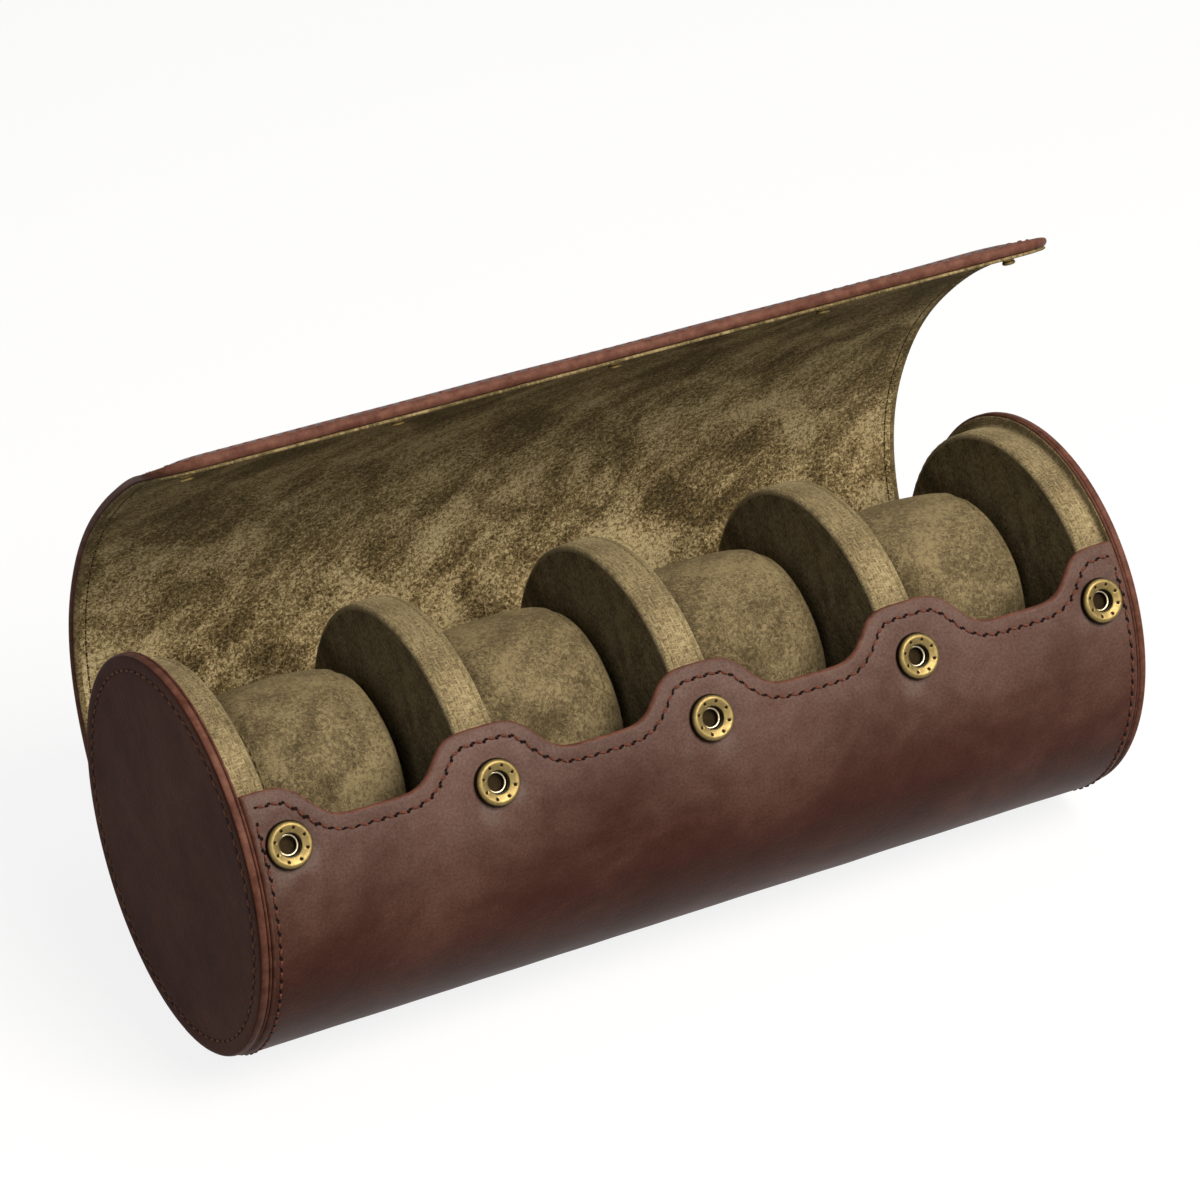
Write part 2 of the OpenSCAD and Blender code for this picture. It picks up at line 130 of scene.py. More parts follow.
# Oiled, vegetable-tanned cow hide with a pull-up finish: wax that moves when the hide bends leaves
# lighter clouds, the grain is a fine pebble, and the sheen is soft.
# A painted sheen, a lighter grey-brown, stands in for the lamp's highlight just under the front edge and
# round the press studs
leatherLook = {
    "dark": "#371a10",
    "mid": "#422217",
    "light": "#573123",
    "cloud": 60.0,  # mm across a cloud of wax
    "patch": 8.0,  # mm across a small blotch
    "pebble": 0.95,  # mm across a grain cell, coarser than the real 0.5 mm so that it shows
    "roughness": 0.45,
    "shine": 0.08,
    "bloom": "#625049",  # painted sheen: a lighter grey-brown that stands in for the lamp's broad highlight just under the front edge
    "bloomShare": 0.0,
    "bloomFull": -138.0,  # mm on the pattern down to the hinge strip, just under the front edge
    "bloomGone": -84.0,
    "bloomWander": 80.0,  # mm that the clouds shift it
}


def leather(add, look):
    place = millimetres(add, "UV")
    cloud = add("TexNoise", {"Scale": 1 / look["cloud"], "Detail": 5, "Roughness": 0.6,
                             "Distortion": 0.4}, place)
    patch = add("TexNoise", {"Scale": 1 / look["patch"], "Detail": 4, "Roughness": 0.65}, place)
    both = add("Math", {"operation": "MULTIPLY_ADD", 1: 0.35}, {0: patch, 2: cloud})
    tone = add("ValToRGB", {"stops": [(0.5, look["dark"]), (0.66, look["mid"]),
                                      (0.86, look["light"])]}, both)
    # the painted sheen follows the height on the pattern, or the painted highlight round a press stud
    # where it is stronger; both stand in for the lamp's sheen on the upper front
    height = add("SeparateXYZ", None, place)
    uneven = add("Math", {"operation": "MULTIPLY_ADD", 1: -look["bloomWander"]},
                 {0: cloud, 2: height.outputs[1]})
    middle = look["bloomWander"] / 2
    bloom = add("MapRange", {"interpolation_type": "SMOOTHSTEP", 1: look["bloomFull"] - middle,
                             2: look["bloomGone"] - middle, 3: look["bloomShare"], 4: 0.0}, uneven)
    patchy = add("MapRange", {1: 0.34, 2: 0.62, 3: 0.62, 4: 1.0}, patch)
    thinned = add("Math", {"operation": "MULTIPLY"}, {0: bloom, 1: patchy})
    halo = add("Attribute", {"attribute_name": "halo"})
    waxy = add("Math", {"operation": "MAXIMUM"}, {0: thinned, 1: halo.outputs["Fac"]})
    bloomed = add("Mix", {"data_type": "RGBA", 7: linear(look["bloom"])}, {0: waxy, 6: tone})
    streakPlace = add("Mapping", {"Scale": (0.9, 0.05, 1), "Rotation": (0, 0, 0.5)}, place)
    streak = add("TexNoise", {"Scale": 1.0, "Detail": 3, "Roughness": 0.7}, streakPlace)
    scratch = add("ValToRGB", {"stops": [(0.66, "#000000"), (0.74, "#6a6a6a")]}, streak)
    scratched = add("Mix", {"data_type": "RGBA", 7: linear(look["light"])}, {0: scratch, 6: bloomed})
    speckle = add("TexNoise", {"Scale": 1.3, "Detail": 3, "Roughness": 0.8}, place)
    spotted = add("ValToRGB", {"stops": [(0.36, "#b0a8a4"), (0.6, "#ffffff")]}, speckle)
    pored = add("Mix", {"data_type": "RGBA", "blend_type": "MULTIPLY", 0: 0.6},
                {6: scratched, 7: spotted})
    pebble = add("TexVoronoi", {"feature": "SMOOTH_F1", "Scale": 1 / look["pebble"],
                                "Smoothness": 0.6}, place)
    fine = add("TexNoise", {"Scale": 2.6, "Detail": 3, "Roughness": 0.6}, place)
    crease = add("TexNoise", {"Scale": 0.22, "Detail": 4, "Roughness": 0.6, "Distortion": 1.2}, place)
    grain = add("Math", {"operation": "MULTIPLY_ADD", 1: 0.5}, {0: fine, 2: pebble})
    grainBump = add("Bump", {"Strength": 0.5, "Distance": 0.0001}, {"Height": grain})
    bump = add("Bump", {"Strength": 0.12, "Distance": 0.0003}, {"Height": crease, "Normal": grainBump})
    rough = add("MapRange", {3: look["roughness"] + 0.1, 4: look["roughness"] - 0.06}, cloud)
    return add("BsdfPrincipled", {"IOR": 1.5, "Specular IOR Level": look["shine"]},
               {"Base Color": pored, "Roughness": rough, "Normal": bump})


# The cut edge of the hide, bevelled, dyed and rubbed smooth with wax: redder than the face
edgeLook = {"dark": "#482a21", "light": "#684538", "roughness": 0.55, "shine": 0.07}


def cutEdge(add, look):
    place = millimetres(add, "Object")
    wear = add("TexNoise", {"Scale": 0.3, "Detail": 5, "Roughness": 0.7}, place)
    tone = add("ValToRGB", {"stops": [(0.35, look["dark"]), (0.68, look["light"])]}, wear)
    fibre = add("TexNoise", {"Scale": 3.0, "Detail": 2}, place)
    bump = add("Bump", {"Strength": 0.4, "Distance": 0.0001}, {"Height": fibre})
    return add("BsdfPrincipled", {"Roughness": look["roughness"], "IOR": 1.5,
                                  "Specular IOR Level": look["shine"]},
               {"Base Color": tone, "Normal": bump})


# Split suede, brushed: the nap lies in strokes that catch the light in clouds, and single fibres
# show as light and dark flecks
suedeLook = {
    "dark": "#352b16",
    "mid": "#7e6b46",
    "light": "#c8b68a",
    "cloud": 26.0,  # mm across a brushed cloud
    "stroke": (24.0, 7.5, 10.0),  # mm along and across a brush stroke
    "slant": 0.75,  # turn of the strokes, in radians
    "fleck": 1.0,  # mm, real fibres of 0.2 mm are drawn coarser so that they show
    "sheen": 0.3,
    "sheenTint": "#b5a47a",
}


def suede(add, look, source="UV"):
    place = millimetres(add, source)
    cloud = add("TexNoise", {"Scale": 1 / look["cloud"], "Detail": 4, "Roughness": 0.55,
                             "Distortion": 0.8}, place)
    strokePlace = add("Mapping", {"vector_type": "TEXTURE", "Scale": look["stroke"],
                                  "Rotation": (0, 0, look["slant"])}, place)
    stroke = add("TexNoise", {"Scale": 1.0, "Detail": 4, "Roughness": 0.6}, strokePlace)
    fleck = add("TexNoise", {"Scale": 1 / look["fleck"], "Detail": 3, "Roughness": 0.75,
                             "Distortion": 0.9}, place)
    broad = add("Math", {"operation": "MULTIPLY_ADD", 1: 0.6}, {0: stroke, 2: cloud})
    spread = add("MapRange", {1: 0.6, 2: 0.98, 3: 0.12, 4: 0.84}, broad)
    fine = add("MapRange", {1: 0.34, 2: 0.66, 3: -0.5, 4: 0.5}, fleck)
    total = add("Math", {"operation": "ADD"}, {0: spread, 1: fine})
    tone = add("ValToRGB", {"stops": [(0.05, look["dark"]), (0.5, look["mid"]),
                                      (0.95, look["light"])]}, total)
    bump = add("Bump", {"Strength": 0.9, "Distance": 0.0007}, {"Height": fleck})
    return add("BsdfPrincipled", {"Roughness": 0.92, "Specular IOR Level": 0.15,
                                  "Sheen Weight": look["sheen"], "Sheen Roughness": 0.55,
                                  "Sheen Tint": linear(look["sheenTint"])},
               {"Base Color": tone, "Normal": bump})


# Felted wool cloth, plain woven and raised: short slubs along and across over a woolly ground
clothLook = {
    "dark": "#463d28",
    "mid": "#706247",
    "light": "#988a66",
    "thread": 0.8,  # mm between threads, the real cloth has 0.45 mm
    "cloud": 18.0,  # mm across a cloud of wear
    "sheen": 0.3,
    "sheenTint": "#c0b088",
}


def cloth(add, look):
    place = millimetres(add, "UV")
    slubs = []
    for along, across in ((0.35, 1.5), (1.5, 0.35)):
        threadPlace = add("Mapping", {"Scale": (along / look["thread"], across / look["thread"], 1)},
                          place)
        slubs.append(add("TexNoise", {"Scale": 1.0, "Detail": 2, "Roughness": 0.6}, threadPlace))
    cross = add("Math", {"operation": "MAXIMUM"}, {0: slubs[0], 1: slubs[1]})
    wool = add("TexNoise", {"Scale": 2.4, "Detail": 3, "Roughness": 0.7}, place)
    cloud = add("TexNoise", {"Scale": 1 / look["cloud"], "Detail": 3}, place)
    woolly = add("Math", {"operation": "MULTIPLY_ADD", 1: 0.5}, {0: wool, 2: cross})
    total = add("Math", {"operation": "MULTIPLY_ADD", 1: 0.45}, {0: cloud, 2: woolly})
    spread = add("MapRange", {1: 0.86, 2: 1.22}, total)
    tone = add("ValToRGB", {"stops": [(0.0, look["dark"]), (0.45, look["mid"]),
                                      (1.0, look["light"])]}, spread)
    bump = add("Bump", {"Strength": 0.8, "Distance": 0.0003}, {"Height": woolly})
    return add("BsdfPrincipled", {"Roughness": 0.95, "Specular IOR Level": 0.12,
                                  "Sheen Weight": look["sheen"], "Sheen Roughness": 0.6,
                                  "Sheen Tint": linear(look["sheenTint"])},
               {"Base Color": tone, "Normal": bump})


# Brass, drawn, plated and darkened by hand: the high parts are rubbed bright, the recesses keep the brown
# patina, and on the rings the low outer slope of the dome is painted darker as painted shade
def brass(add, bright, patina, roughness):
    place = millimetres(add, "Object")
    spot = add("TexNoise", {"Scale": 0.9, "Detail": 5, "Roughness": 0.7}, place)
    recess = add("Attribute", {"attribute_name": "recess"})
    mask = add("Math", {"operation": "MULTIPLY_ADD", 1: 0.55, "use_clamp": True},
               {0: spot, 2: recess.outputs["Fac"]})
    spread = add("MapRange", {1: 0.2, 2: 0.75}, mask)
    tone = add("Mix", {"data_type": "RGBA", 6: linear(bright), 7: linear(patina)}, spread)
    rough = add("MapRange", {3: roughness, 4: roughness + 0.25}, spot)
    bump = add("Bump", {"Strength": 0.2, "Distance": 0.00005}, {"Height": spot})
    return add("BsdfPrincipled", {"Metallic": 1},
               {"Base Color": tone, "Roughness": rough, "Normal": bump})


# Plain finishes for thread, the stitch holes' painted shade and what lies hidden inside, each mottled at
# its own scale
def mottled(add, dark, light, size, roughness, depth=0.0001, stretch=(1, 1, 1)):
    drawn = add("Mapping", {"Scale": stretch}, millimetres(add, "Object"))
    spot = add("TexNoise", {"Scale": 1 / size, "Detail": 4, "Roughness": 0.6}, drawn)
    tone = add("ValToRGB", {"stops": [(0.35, dark), (0.65, light)]}, spot)
    bump = add("Bump", {"Strength": 0.5, "Distance": depth}, {"Height": spot})
    return add("BsdfPrincipled", {"Roughness": roughness, "IOR": 1.5, "Specular IOR Level": 0.08},
               {"Base Color": tone, "Normal": bump})


capLook = dict(leatherLook, dark="#32160d", mid="#432317", light="#54301f", cloud=50.0,
               roughness=0.55, shine=0.03)
pillowLook = dict(suedeLook, dark="#443a25", mid="#64573e", light="#827454", cloud=17.0)
faceLook = dict(suedeLook, dark="#332a18", mid="#5b4f36", light="#796b4d", cloud=20.0, sheen=0.15)
rawLook = dict(suedeLook, dark="#43391f", mid="#6f5f3e", light="#96845f", cloud=9.0)

# the wrap and the lid carry the painted sheen under the front edge; the caps have none
wrapLeather = makeMaterial("oiledPullUpLeather", leather, dict(leatherLook, bloomShare=0.72))
capLeather = makeMaterial("oiledCapLeather", leather, capLook)
waxedEdge = makeMaterial("waxedLeatherEdge", cutEdge, edgeLook)
brushedSuede = makeMaterial("brushedSuedeLining", suede, suedeLook)
rawSuedeEdge = makeMaterial("rawSuedeEdge", suede, rawLook)
faceSuede = makeMaterial("discFaceSuede", suede, faceLook)
pillowSuede = makeMaterial("pillowSuede", suede, pillowLook, "Object")
woolCloth = makeMaterial("feltedWoolCloth", cloth, clothLook)
antiqueBrass = makeMaterial("antiquedBrass", brass, "#857349", "#1f160b", 0.36)
springBrass = makeMaterial("nickelledBrass", brass, "#c3b699", "#5a4c34", 0.26)
# cups and rivets inside the rings: brass painted nearly black, as painted shade in the rings' holes
darkBrass = makeMaterial("darkenedBrass", brass, "#2c2317", "#0f0b06", 0.5)
# dark, light, mm across a mottle, roughness
waxedThread = makeMaterial("waxedLinenThread", mottled, "#43241b", "#6a4033", 0.5, 0.6)
paleThread = makeMaterial("paleWaxedThread", mottled, "#4a3022", "#80593f", 0.5, 0.6)
oliveThread = makeMaterial("olivePolyesterThread", mottled, "#4a4026", "#76683f", 0.4, 0.7)
# near black: painted shade in the stitch holes
awlHole = makeMaterial("stitchHole", mottled, "#0d0605", "#1a0c09", 0.5, 0.9)
greyBoard = makeMaterial("greyBoard", mottled, "#7d7260", "#9a8e78", 1.2, 0.85)
beechWood = makeMaterial("beechPlywood", mottled, "#b08a5c", "#cfae80", 2.0, 0.6, 0.0001, (1, 0.15, 1))
print("finishes made")


def makeObject(name, verts, faces, materials, faceMaterials=None, uvs=None, normals=None):
    mesh = bpy.data.meshes.new(name)
    mesh.from_pydata((np.asarray(verts, float) * mm).tolist(), [], faces)
    for material in materials:
        mesh.materials.append(material)
    if faceMaterials is not None:
        mesh.polygons.foreach_set("material_index", np.asarray(faceMaterials, np.int32))
    mesh.polygons.foreach_set("use_smooth", [True] * len(mesh.polygons))
    if uvs is not None:
        layer = mesh.uv_layers.new(name="UVMap")
        index = np.zeros(len(mesh.loops), np.int32)
        mesh.loops.foreach_get("vertex_index", index)
        layer.data.foreach_set("uv", np.asarray(uvs, np.float32)[index].ravel() * 0.01)
    if normals is not None:
        mesh.normals_split_custom_set_from_vertices(normals.tolist())
    mesh.update()
    return addObject(name, mesh)


def addObject(name, data):
    piece = bpy.data.objects.new(name, data)
    bpy.context.scene.collection.objects.link(piece)
    return piece


def addValues(piece, name, values):
    # one value for each vertex, which a finish reads by this name
    layer = piece.data.attributes.new(name, "FLOAT", "POINT")
    layer.data.foreach_set("value", np.asarray(values, np.float32))


def vertexNormals(verts, faces):
    # normals of the whole sheet, so that its pieces are shaded as one
    across = np.cross(verts[faces[:, 2]] - verts[faces[:, 0]], verts[faces[:, 3]] - verts[faces[:, 1]])
    total = np.zeros_like(verts)
    for k in range(4):
        np.add.at(total, faces[:, k], across)
    return total / np.maximum(np.linalg.norm(total, axis=1), 1e-12)[:, None]


def tubeFaces(rings, steps, first=0):
    # quads between neighbouring rings of points
    faces = []
    for low in range(first, first + (rings - 1) * steps, steps):
        for i in range(steps):
            j = (i + 1) % steps
            faces.append((low + i, low + j, low + steps + j, low + steps + i))
    return faces


def revolve(profile, centre, axis, up, steps, shape=None):
    # profile is (radius, height) from low to high, turned about axis through centre
    axis = Vector(axis).normalized()
    side = Vector(up).normalized()
    other = axis.cross(side)
    verts = []
    for r, h in profile:
        for i in range(steps):
            a = 2 * math.pi * i / steps
            radius, height = shape(r, h, a) if shape else (r, h)
            p = Vector(centre) + axis * height
            verts.append(p + side * (radius * math.cos(a)) + other * (radius * math.sin(a)))
    return verts, tubeFaces(len(profile), steps)


def lengthAlong(points):
    return np.concatenate([[0], np.cumsum(np.linalg.norm(np.diff(points, axis=0), axis=1))])


def eased(u):
    # a soft step from 0 to 1
    u = np.clip(u, 0, 1)
    return u * u * (3 - 2 * u)


def hill(distance, width):
    return np.exp(-(distance / width) ** 2)


def softNoise(x, s, size, seed):
    return np.array([noise.noise(Vector((a / size, b / size, seed)))
                     for a, b in zip(np.ravel(x), np.ravel(s))]).reshape(np.shape(x))


# The sheet that the wrap and the lid are cut from
sheet = {
    "step": 0.25,  # mm between the table's entries
    "window": 33,  # entries over which each change of curve is evened out
    "spare": 60,  # entries past the lid's front edge
    "flatten": 0.3,  # how softly the roll flattens where it rests
    "settle": 0.03,
    "farAway": 20.0,  # stands for any distance too large to matter
}


def sheetTable():
    # direction and place of the lining's surface from the hinge strip on
    step = sheet["step"]
    radius = roll["innerRadius"]
    corners = [(0.0, roll["stripTurn"], radius)]
    start = radius * math.radians(roll["stripSweep"])
    direction = roll["stripTurn"] + roll["stripSweep"] - roll["lidKick"]
    for length, bend in roll["stretches"]:
        corners.append((start, direction, bend))
        start += length
        direction += math.degrees(length / bend)

    def rawDirection(s):
        at = [c for c in corners if s >= c[0]][-1] if s >= 0 else corners[0]
        return at[1] + math.degrees((s - at[0]) / at[2])

    count = int(round(start / step)) + sheet["spare"]
    window = sheet["window"]
    reach = window // 2
    raw = np.array([rawDirection(i * step) for i in range(-reach, count)])
    beyond = raw[-1] + (raw[-1] - raw[-2]) * np.arange(1, reach + 1)
    smooth = np.convolve(np.concatenate([raw, beyond]), np.ones(window) / window, "valid")
    turn = math.radians(roll["stripTurn"])
    y = [radius * math.sin(turn)]
    z = [roll["axisHeight"] - radius * math.cos(turn)]
    for i in range(1, count):
        middle = math.radians((smooth[i - 1] + smooth[i]) / 2)
        y.append(y[-1] + step * math.cos(middle))
        z.append(z[-1] + step * math.sin(middle))
    return np.arange(count) * step, np.array(y), np.array(z), smooth, start


tableS, tableY, tableZ, tableTurn, lidLength = sheetTable()
crestS = -roll["innerRadius"] * math.radians(90 + roll["crestAngle"] + roll["stripTurn"])
outerShare = roll["innerRadius"] / roll["outerRadius"]
sheetThick = roll["lining"] + roll["leather"]


def sheetPlace(x, s, off):
    # x along the roll, s along the lining from the hinge strip (negative on the wrap), and off
    # outwards from the lining's surface, all arrays of one shape
    x, s, off = np.broadcast_arrays(np.asarray(x, float), np.asarray(s, float), np.asarray(off, float))
    radius = roll["innerRadius"]
    onWrap = s < 0
    a = np.radians(np.where(onWrap, roll["stripTurn"] + np.degrees(s / radius),
                            np.interp(s, tableS, tableTurn)))
    x = x * (1 + roll["flare"] / roll["lidHalf"] * eased((s - roll["flareFrom"]) / roll["flareOver"]))
    y = np.where(onWrap, radius * np.sin(a), np.interp(s, tableS, tableY)) + off * np.sin(a)
    z = np.where(onWrap, roll["axisHeight"] - radius * np.cos(a), np.interp(s, tableS, tableZ))
    z = z - off * np.cos(a)
    z = 0.5 * (z + np.sqrt(z * z + sheet["flatten"])) - sheet["settle"]
    return np.stack([x, y, z], -1)


# rows of points in from an edge, close together where the edge is rounded and stitched
edgeSteps = [0.0, 0.06, 0.28, 0.7, 1.3, 1.7, 2.0, 2.3, 2.9, 3.5, 3.9, 4.2, 4.5, 4.9, 5.6]


def roundedSides(top, bottom, dU, dV, radius):
    # draws both surfaces in to the middle of the thickness over radius at the edges
    eU = np.clip(1 - dU / radius, 0, 1)
    eV = np.clip(1 - dV / radius, 0, 1)
    share = np.sqrt(1 - np.clip(np.sqrt(eU ** 2 + eV ** 2), 0, 1) ** 2)
    middle = (top + bottom) / 2
    return middle + (top - middle) * share, middle + (bottom - middle) * share


def sheetMesh(x, s, top, bottom, closeFirst, closeLast):
    # two surfaces over one grid, joined at the sides and at the closed rows
    rows, cols = x.shape
    upper = np.arange(rows * cols).reshape(rows, cols)
    lower = upper.copy()
    inner = lower[int(closeFirst):rows - int(closeLast), 1:-1]
    inner[:] = rows * cols + np.arange(inner.size).reshape(inner.shape)
    verts = np.zeros((rows * cols + inner.size, 3))
    uvs = np.zeros((len(verts), 2))
    for index, off in ((lower, bottom), (upper, top)):
        verts[index] = sheetPlace(x, s, off)
        uvs[index] = np.stack([x, s / outerShare], -1)
    above = np.stack([upper[:-1, :-1], upper[:-1, 1:], upper[1:, 1:], upper[1:, :-1]], -1)
    below = np.stack([lower[:-1, :-1], lower[1:, :-1], lower[1:, 1:], lower[:-1, 1:]], -1)
    faces = np.stack([above, below], 2).reshape(-1, 4)
    faceRows, faceCols = np.divmod(np.arange(len(faces)) // 2, cols - 1)
    return verts, faces, uvs, faceRows, faceCols


# The scooped front edge, drawn flat on the wrap's outside: x, and h down from the crests
scoop = {
    "flat": 9.5,  # half the flat of a crest
    "bend": 6.5,  # radius of the corners
    "slope": 52.0,  # degrees
    "spacing": 0.5,  # between the line's points
    "ease": 15.0,  # length over which the hand-cut corners are eased
    "columnStep": 1.3,
}


def arcPoints(cx, cy, r, fromAngle, toAngle, steps=14):
    angles = [math.radians(fromAngle + (toAngle - fromAngle) * i / steps) for i in range(steps + 1)]
    return [(cx + r * math.cos(a), cy + r * math.sin(a)) for a in angles]


def frontEdge():
    depth = roll["outerRadius"] * math.radians(roll["crestAngle"] - roll["troughAngle"])
    flat = scoop["flat"]
    bend = scoop["bend"]
    slope = scoop["slope"]
    turn = math.radians(slope)
    run = bend * math.sin(turn)
    rise = bend * (1 - math.cos(turn))
    shoulder = flat + 2 * run + (depth - 2 * rise) / math.tan(turn)
    bay = arcPoints(-shoulder, depth - bend, bend, 90, 90 - slope)
    bay += arcPoints(-flat, bend, bend, -90 - slope, -90)
    bay += arcPoints(flat, bend, bend, -90, slope - 90)
    bay += arcPoints(shoulder, depth - bend, bend, slope + 90, 90)
    line = [(-roll["wrapHalf"], 0.0)]
    line += [(c + px, depth - py) for c in roll["bayCentres"] for px, py in bay]
    line = np.array(line + [(roll["wrapHalf"], 0.0)])
    line = line[np.concatenate([[True], np.diff(lengthAlong(line)) > 1e-6])]
    along = lengthAlong(line)
    fine = np.arange(0, along[-1] + scoop["spacing"], scoop["spacing"])
    line = np.stack([np.interp(fine, along, line[:, k]) for k in (0, 1)], -1)
    reach = int(scoop["ease"] / scoop["spacing"]) // 2
    weights = np.hanning(2 * reach + 3)[1:-1]
    ahead = line[0] + (line[0] - line[1]) * np.arange(reach, 0, -1)[:, None]
    behind = line[-1] + (line[-1] - line[-2]) * np.arange(1, reach + 1)[:, None]
    padded = np.concatenate([ahead, line, behind])
    line = np.stack([np.convolve(padded[:, k], weights / weights.sum(), "valid") for k in (0, 1)], -1)
    return line, lengthAlong(line)


edgeLine, edgeAlong = frontEdge()


def edgeAt(t):
    return np.stack([np.interp(t, edgeAlong, edgeLine[:, k]) for k in (0, 1)], -1)


def edgeInset(t, d):
    # points d in from the front edge, with the edge's own curve evened out a little
    even = 0.8
    along = edgeAt(np.clip(t + even, 0, edgeAlong[-1])) - edgeAt(np.clip(t - even, 0, edgeAlong[-1]))
    along = along / np.linalg.norm(along, axis=-1, keepdims=True)
    return edgeAt(t) + np.stack([-along[:, 1], along[:, 0]], -1) * d


wrap = {
    "edgeRound": 1.0,
    "frontStitch": 4.2,
    "endStitch": 2.0,
    "furrow": 0.11,
    "straightRow": 24.0,  # how far down the rows of the grid no longer follow the scoops
    "hingeGap": 4.0,  # the wrap ends this far before the hinge strip
    "liningInset": 0.9,  # the lining stops a little short of the leather's edge
    "holeReach": 4.1,  # the leather is cut away under the press studs' rings
    "dimple": 0.55,  # how far the leather sinks round a press stud
    "wave": 0.16,  # unevenness of the hide
    "halo": 1.25,  # strength, drop and reach of the painted highlight round a press stud
    "haloDrop": 5.0,
    "haloReach": 10.5,
}
snapDown = roll["outerRadius"] * math.radians(roll["crestAngle"] - roll["snapAngle"])


def wrapGrid(t, depths, blendRows, straightRows):
    # rows along the front edge, then rows that ease to straight ones down to the hinge strip
    base = edgeInset(t, edgeSteps[-1])
    straight = edgeAt(t)
    straight[:, 1] = wrap["straightRow"]
    end = (-wrap["hingeGap"] - crestS) / outerShare
    rows = [edgeInset(t, d) for d in depths]
    rows += [base + (straight - base) * k / blendRows for k in range(1, blendRows + 1)]
    for h in np.linspace(wrap["straightRow"], end, straightRows)[1:]:
        rows.append(np.stack([straight[:, 0], np.full(len(t), h)], -1))
    grid = np.array(rows)
    return grid[..., 0], grid[..., 1]


def wrapHeightSteps(steps, shape):
    # how far in from the front edge each row lies
    rows = np.full(shape[0], sheet["farAway"])
    rows[:len(steps)] = steps
    return np.repeat(rows[:, None], shape[1], 1)


def buildWrapLeather(t):
    half = roll["wrapHalf"]
    x, h = wrapGrid(t, edgeSteps, 14, 52)
    x = np.clip(x, -half, half)
    dV = wrapHeightSteps(edgeSteps, x.shape)
    dU = np.minimum(np.minimum(t, edgeAlong[-1] - t), half - np.abs(x))
    top, bottom = roundedSides(sheetThick, roll["lining"], dU, dV, wrap["edgeRound"])
    frontFurrow = hill(dV - wrap["frontStitch"], 0.5) * (dU > wrap["endStitch"])
    endFurrow = hill(dU - wrap["endStitch"], 0.4) * (dV > wrap["frontStitch"])
    top -= wrap["furrow"] * np.maximum(frontFurrow, endFurrow)
    waves = softNoise(x, h, 31.0, 3.1) + 0.5 * softNoise(x, h, 11.0, 7.7) - 0.2
    top += wrap["wave"] * np.clip((np.minimum(dU, dV) - 3) / 4, 0, 1) * waves
    for cx in roll["snapCentres"]:
        reach = np.hypot(x - cx, h - snapDown)
        top -= wrap["dimple"] * hill(reach - 5.6, 2.4) * np.clip(dU / 6, 0, 1)
    s = crestS + h * outerShare
    verts, faces, uvs, faceRows, faceCols = sheetMesh(x, s, top, bottom, True, False)
    centreX = (x[:-1, :-1] + x[1:, 1:]) / 2
    centreH = (h[:-1, :-1] + h[1:, 1:]) / 2
    reach = np.min([np.hypot(centreX - cx, centreH - snapDown) for cx in roll["snapCentres"]], axis=0)
    whole = reach[faceRows, faceCols] > wrap["holeReach"]
    rim = (faceRows < 3) | (faceCols < 3) | (faceCols > x.shape[1] - 5)
    piece = makeObject("wrapLeather", verts, faces[whole].tolist(), [wrapLeather, waxedEdge],
                       rim[whole], uvs)
    # a painted highlight lightens the leather round each press stud, more below it than above, where the
    # lamp's sheen catches the drawn-in leather
    across = uvs[:, :1] - np.array(roll["snapCentres"])
    down = uvs[:, 1:] - crestS / outerShare - snapDown
    reach = np.hypot(across, down - wrap["haloDrop"]).min(axis=1)
    halo = wrap["halo"] * hill(reach, wrap["haloReach"])
    halo *= 0.7 + 0.9 * softNoise(uvs[:, 0], uvs[:, 1], 7.0, 9.1)
    addValues(piece, "halo", np.clip(halo, 0, 1))
    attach(piece, "case")
    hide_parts("case_leather", "case_board")


def buildWrapLining(t):
    steps = [0.0, 0.15, 0.45, 1.2]
    x, h = wrapGrid(t, [wrap["liningInset"] + d for d in steps + [4.0]], 4, 30)
    half = roll["wrapHalf"] - 0.3
    x = np.clip(x, -half, half)
    dU = np.full(x.shape, sheet["farAway"])
    dU[:, [0, -1]] = 0
    low = 0.12 * softNoise(x, h, 14.0, 1.3)
    top, bottom = roundedSides(roll["lining"] - 0.02, low, dU, wrapHeightSteps(steps, x.shape), 0.45)
    s = crestS + h * outerShare
    verts, faces, uvs, faceRows, faceCols = sheetMesh(x, s, top, bottom, True, False)
    lining = makeObject("wrapLining", verts, faces.tolist(), [brushedSuede, rawSuedeEdge],
                        faceRows < 3, uvs)
    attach(lining, "case")
    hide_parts("case_lining")


def buildWrap():
    total = edgeAlong[-1]
    sides = np.array(edgeSteps[:-1])
    middle = np.linspace(5.5, total - 5.5, int((total - 11) / scoop["columnStep"]))
    t = np.concatenate([sides, middle, total - sides[::-1]])
    buildWrapLeather(t)
    buildWrapLining(t)


buildWrap()
print("wrap made")

# The lid, one sheet in seven pieces
lid = {
    "breaks": [-4.0, 7.0, 27.0, 55.0, 88.0, 125.0, 163.0],
    "rowStep": 2.6,
    "columnStep": 2.7,
    "cornerRadius": 14.0,
    "edgeRound": 1.25,
    "liningInset": 0.5,
    "stitch": 3.9,
    "furrow": 0.15,
    "wave": 0.3,  # unevenness of the hide
    "pare": 1.7,  # how much thinner the sides are, over the width
    "pareWidth": 16.0,
}
lidNodes = [("strip_leather", "strip_board", "strip_lining")]
lidNodes += [(f"panel_leather_{k}", f"panel_board_{k}", f"panel_lining_{k}") for k in range(1, 5)]
lidNodes += [(f"flap_leather_{k}", f"flap_board_{k}", f"flap_lining_{k}") for k in (1, 2)]


def lidHalfWidth(s, inset):
    # half the sheet's width at s, with the free corners rounded
    r = lid["cornerRadius"]
    into = np.clip(s - (lidLength - inset - r), 0, r)
    return roll["lidHalf"] - inset - r + math.sqrt(r * r - into ** 2)


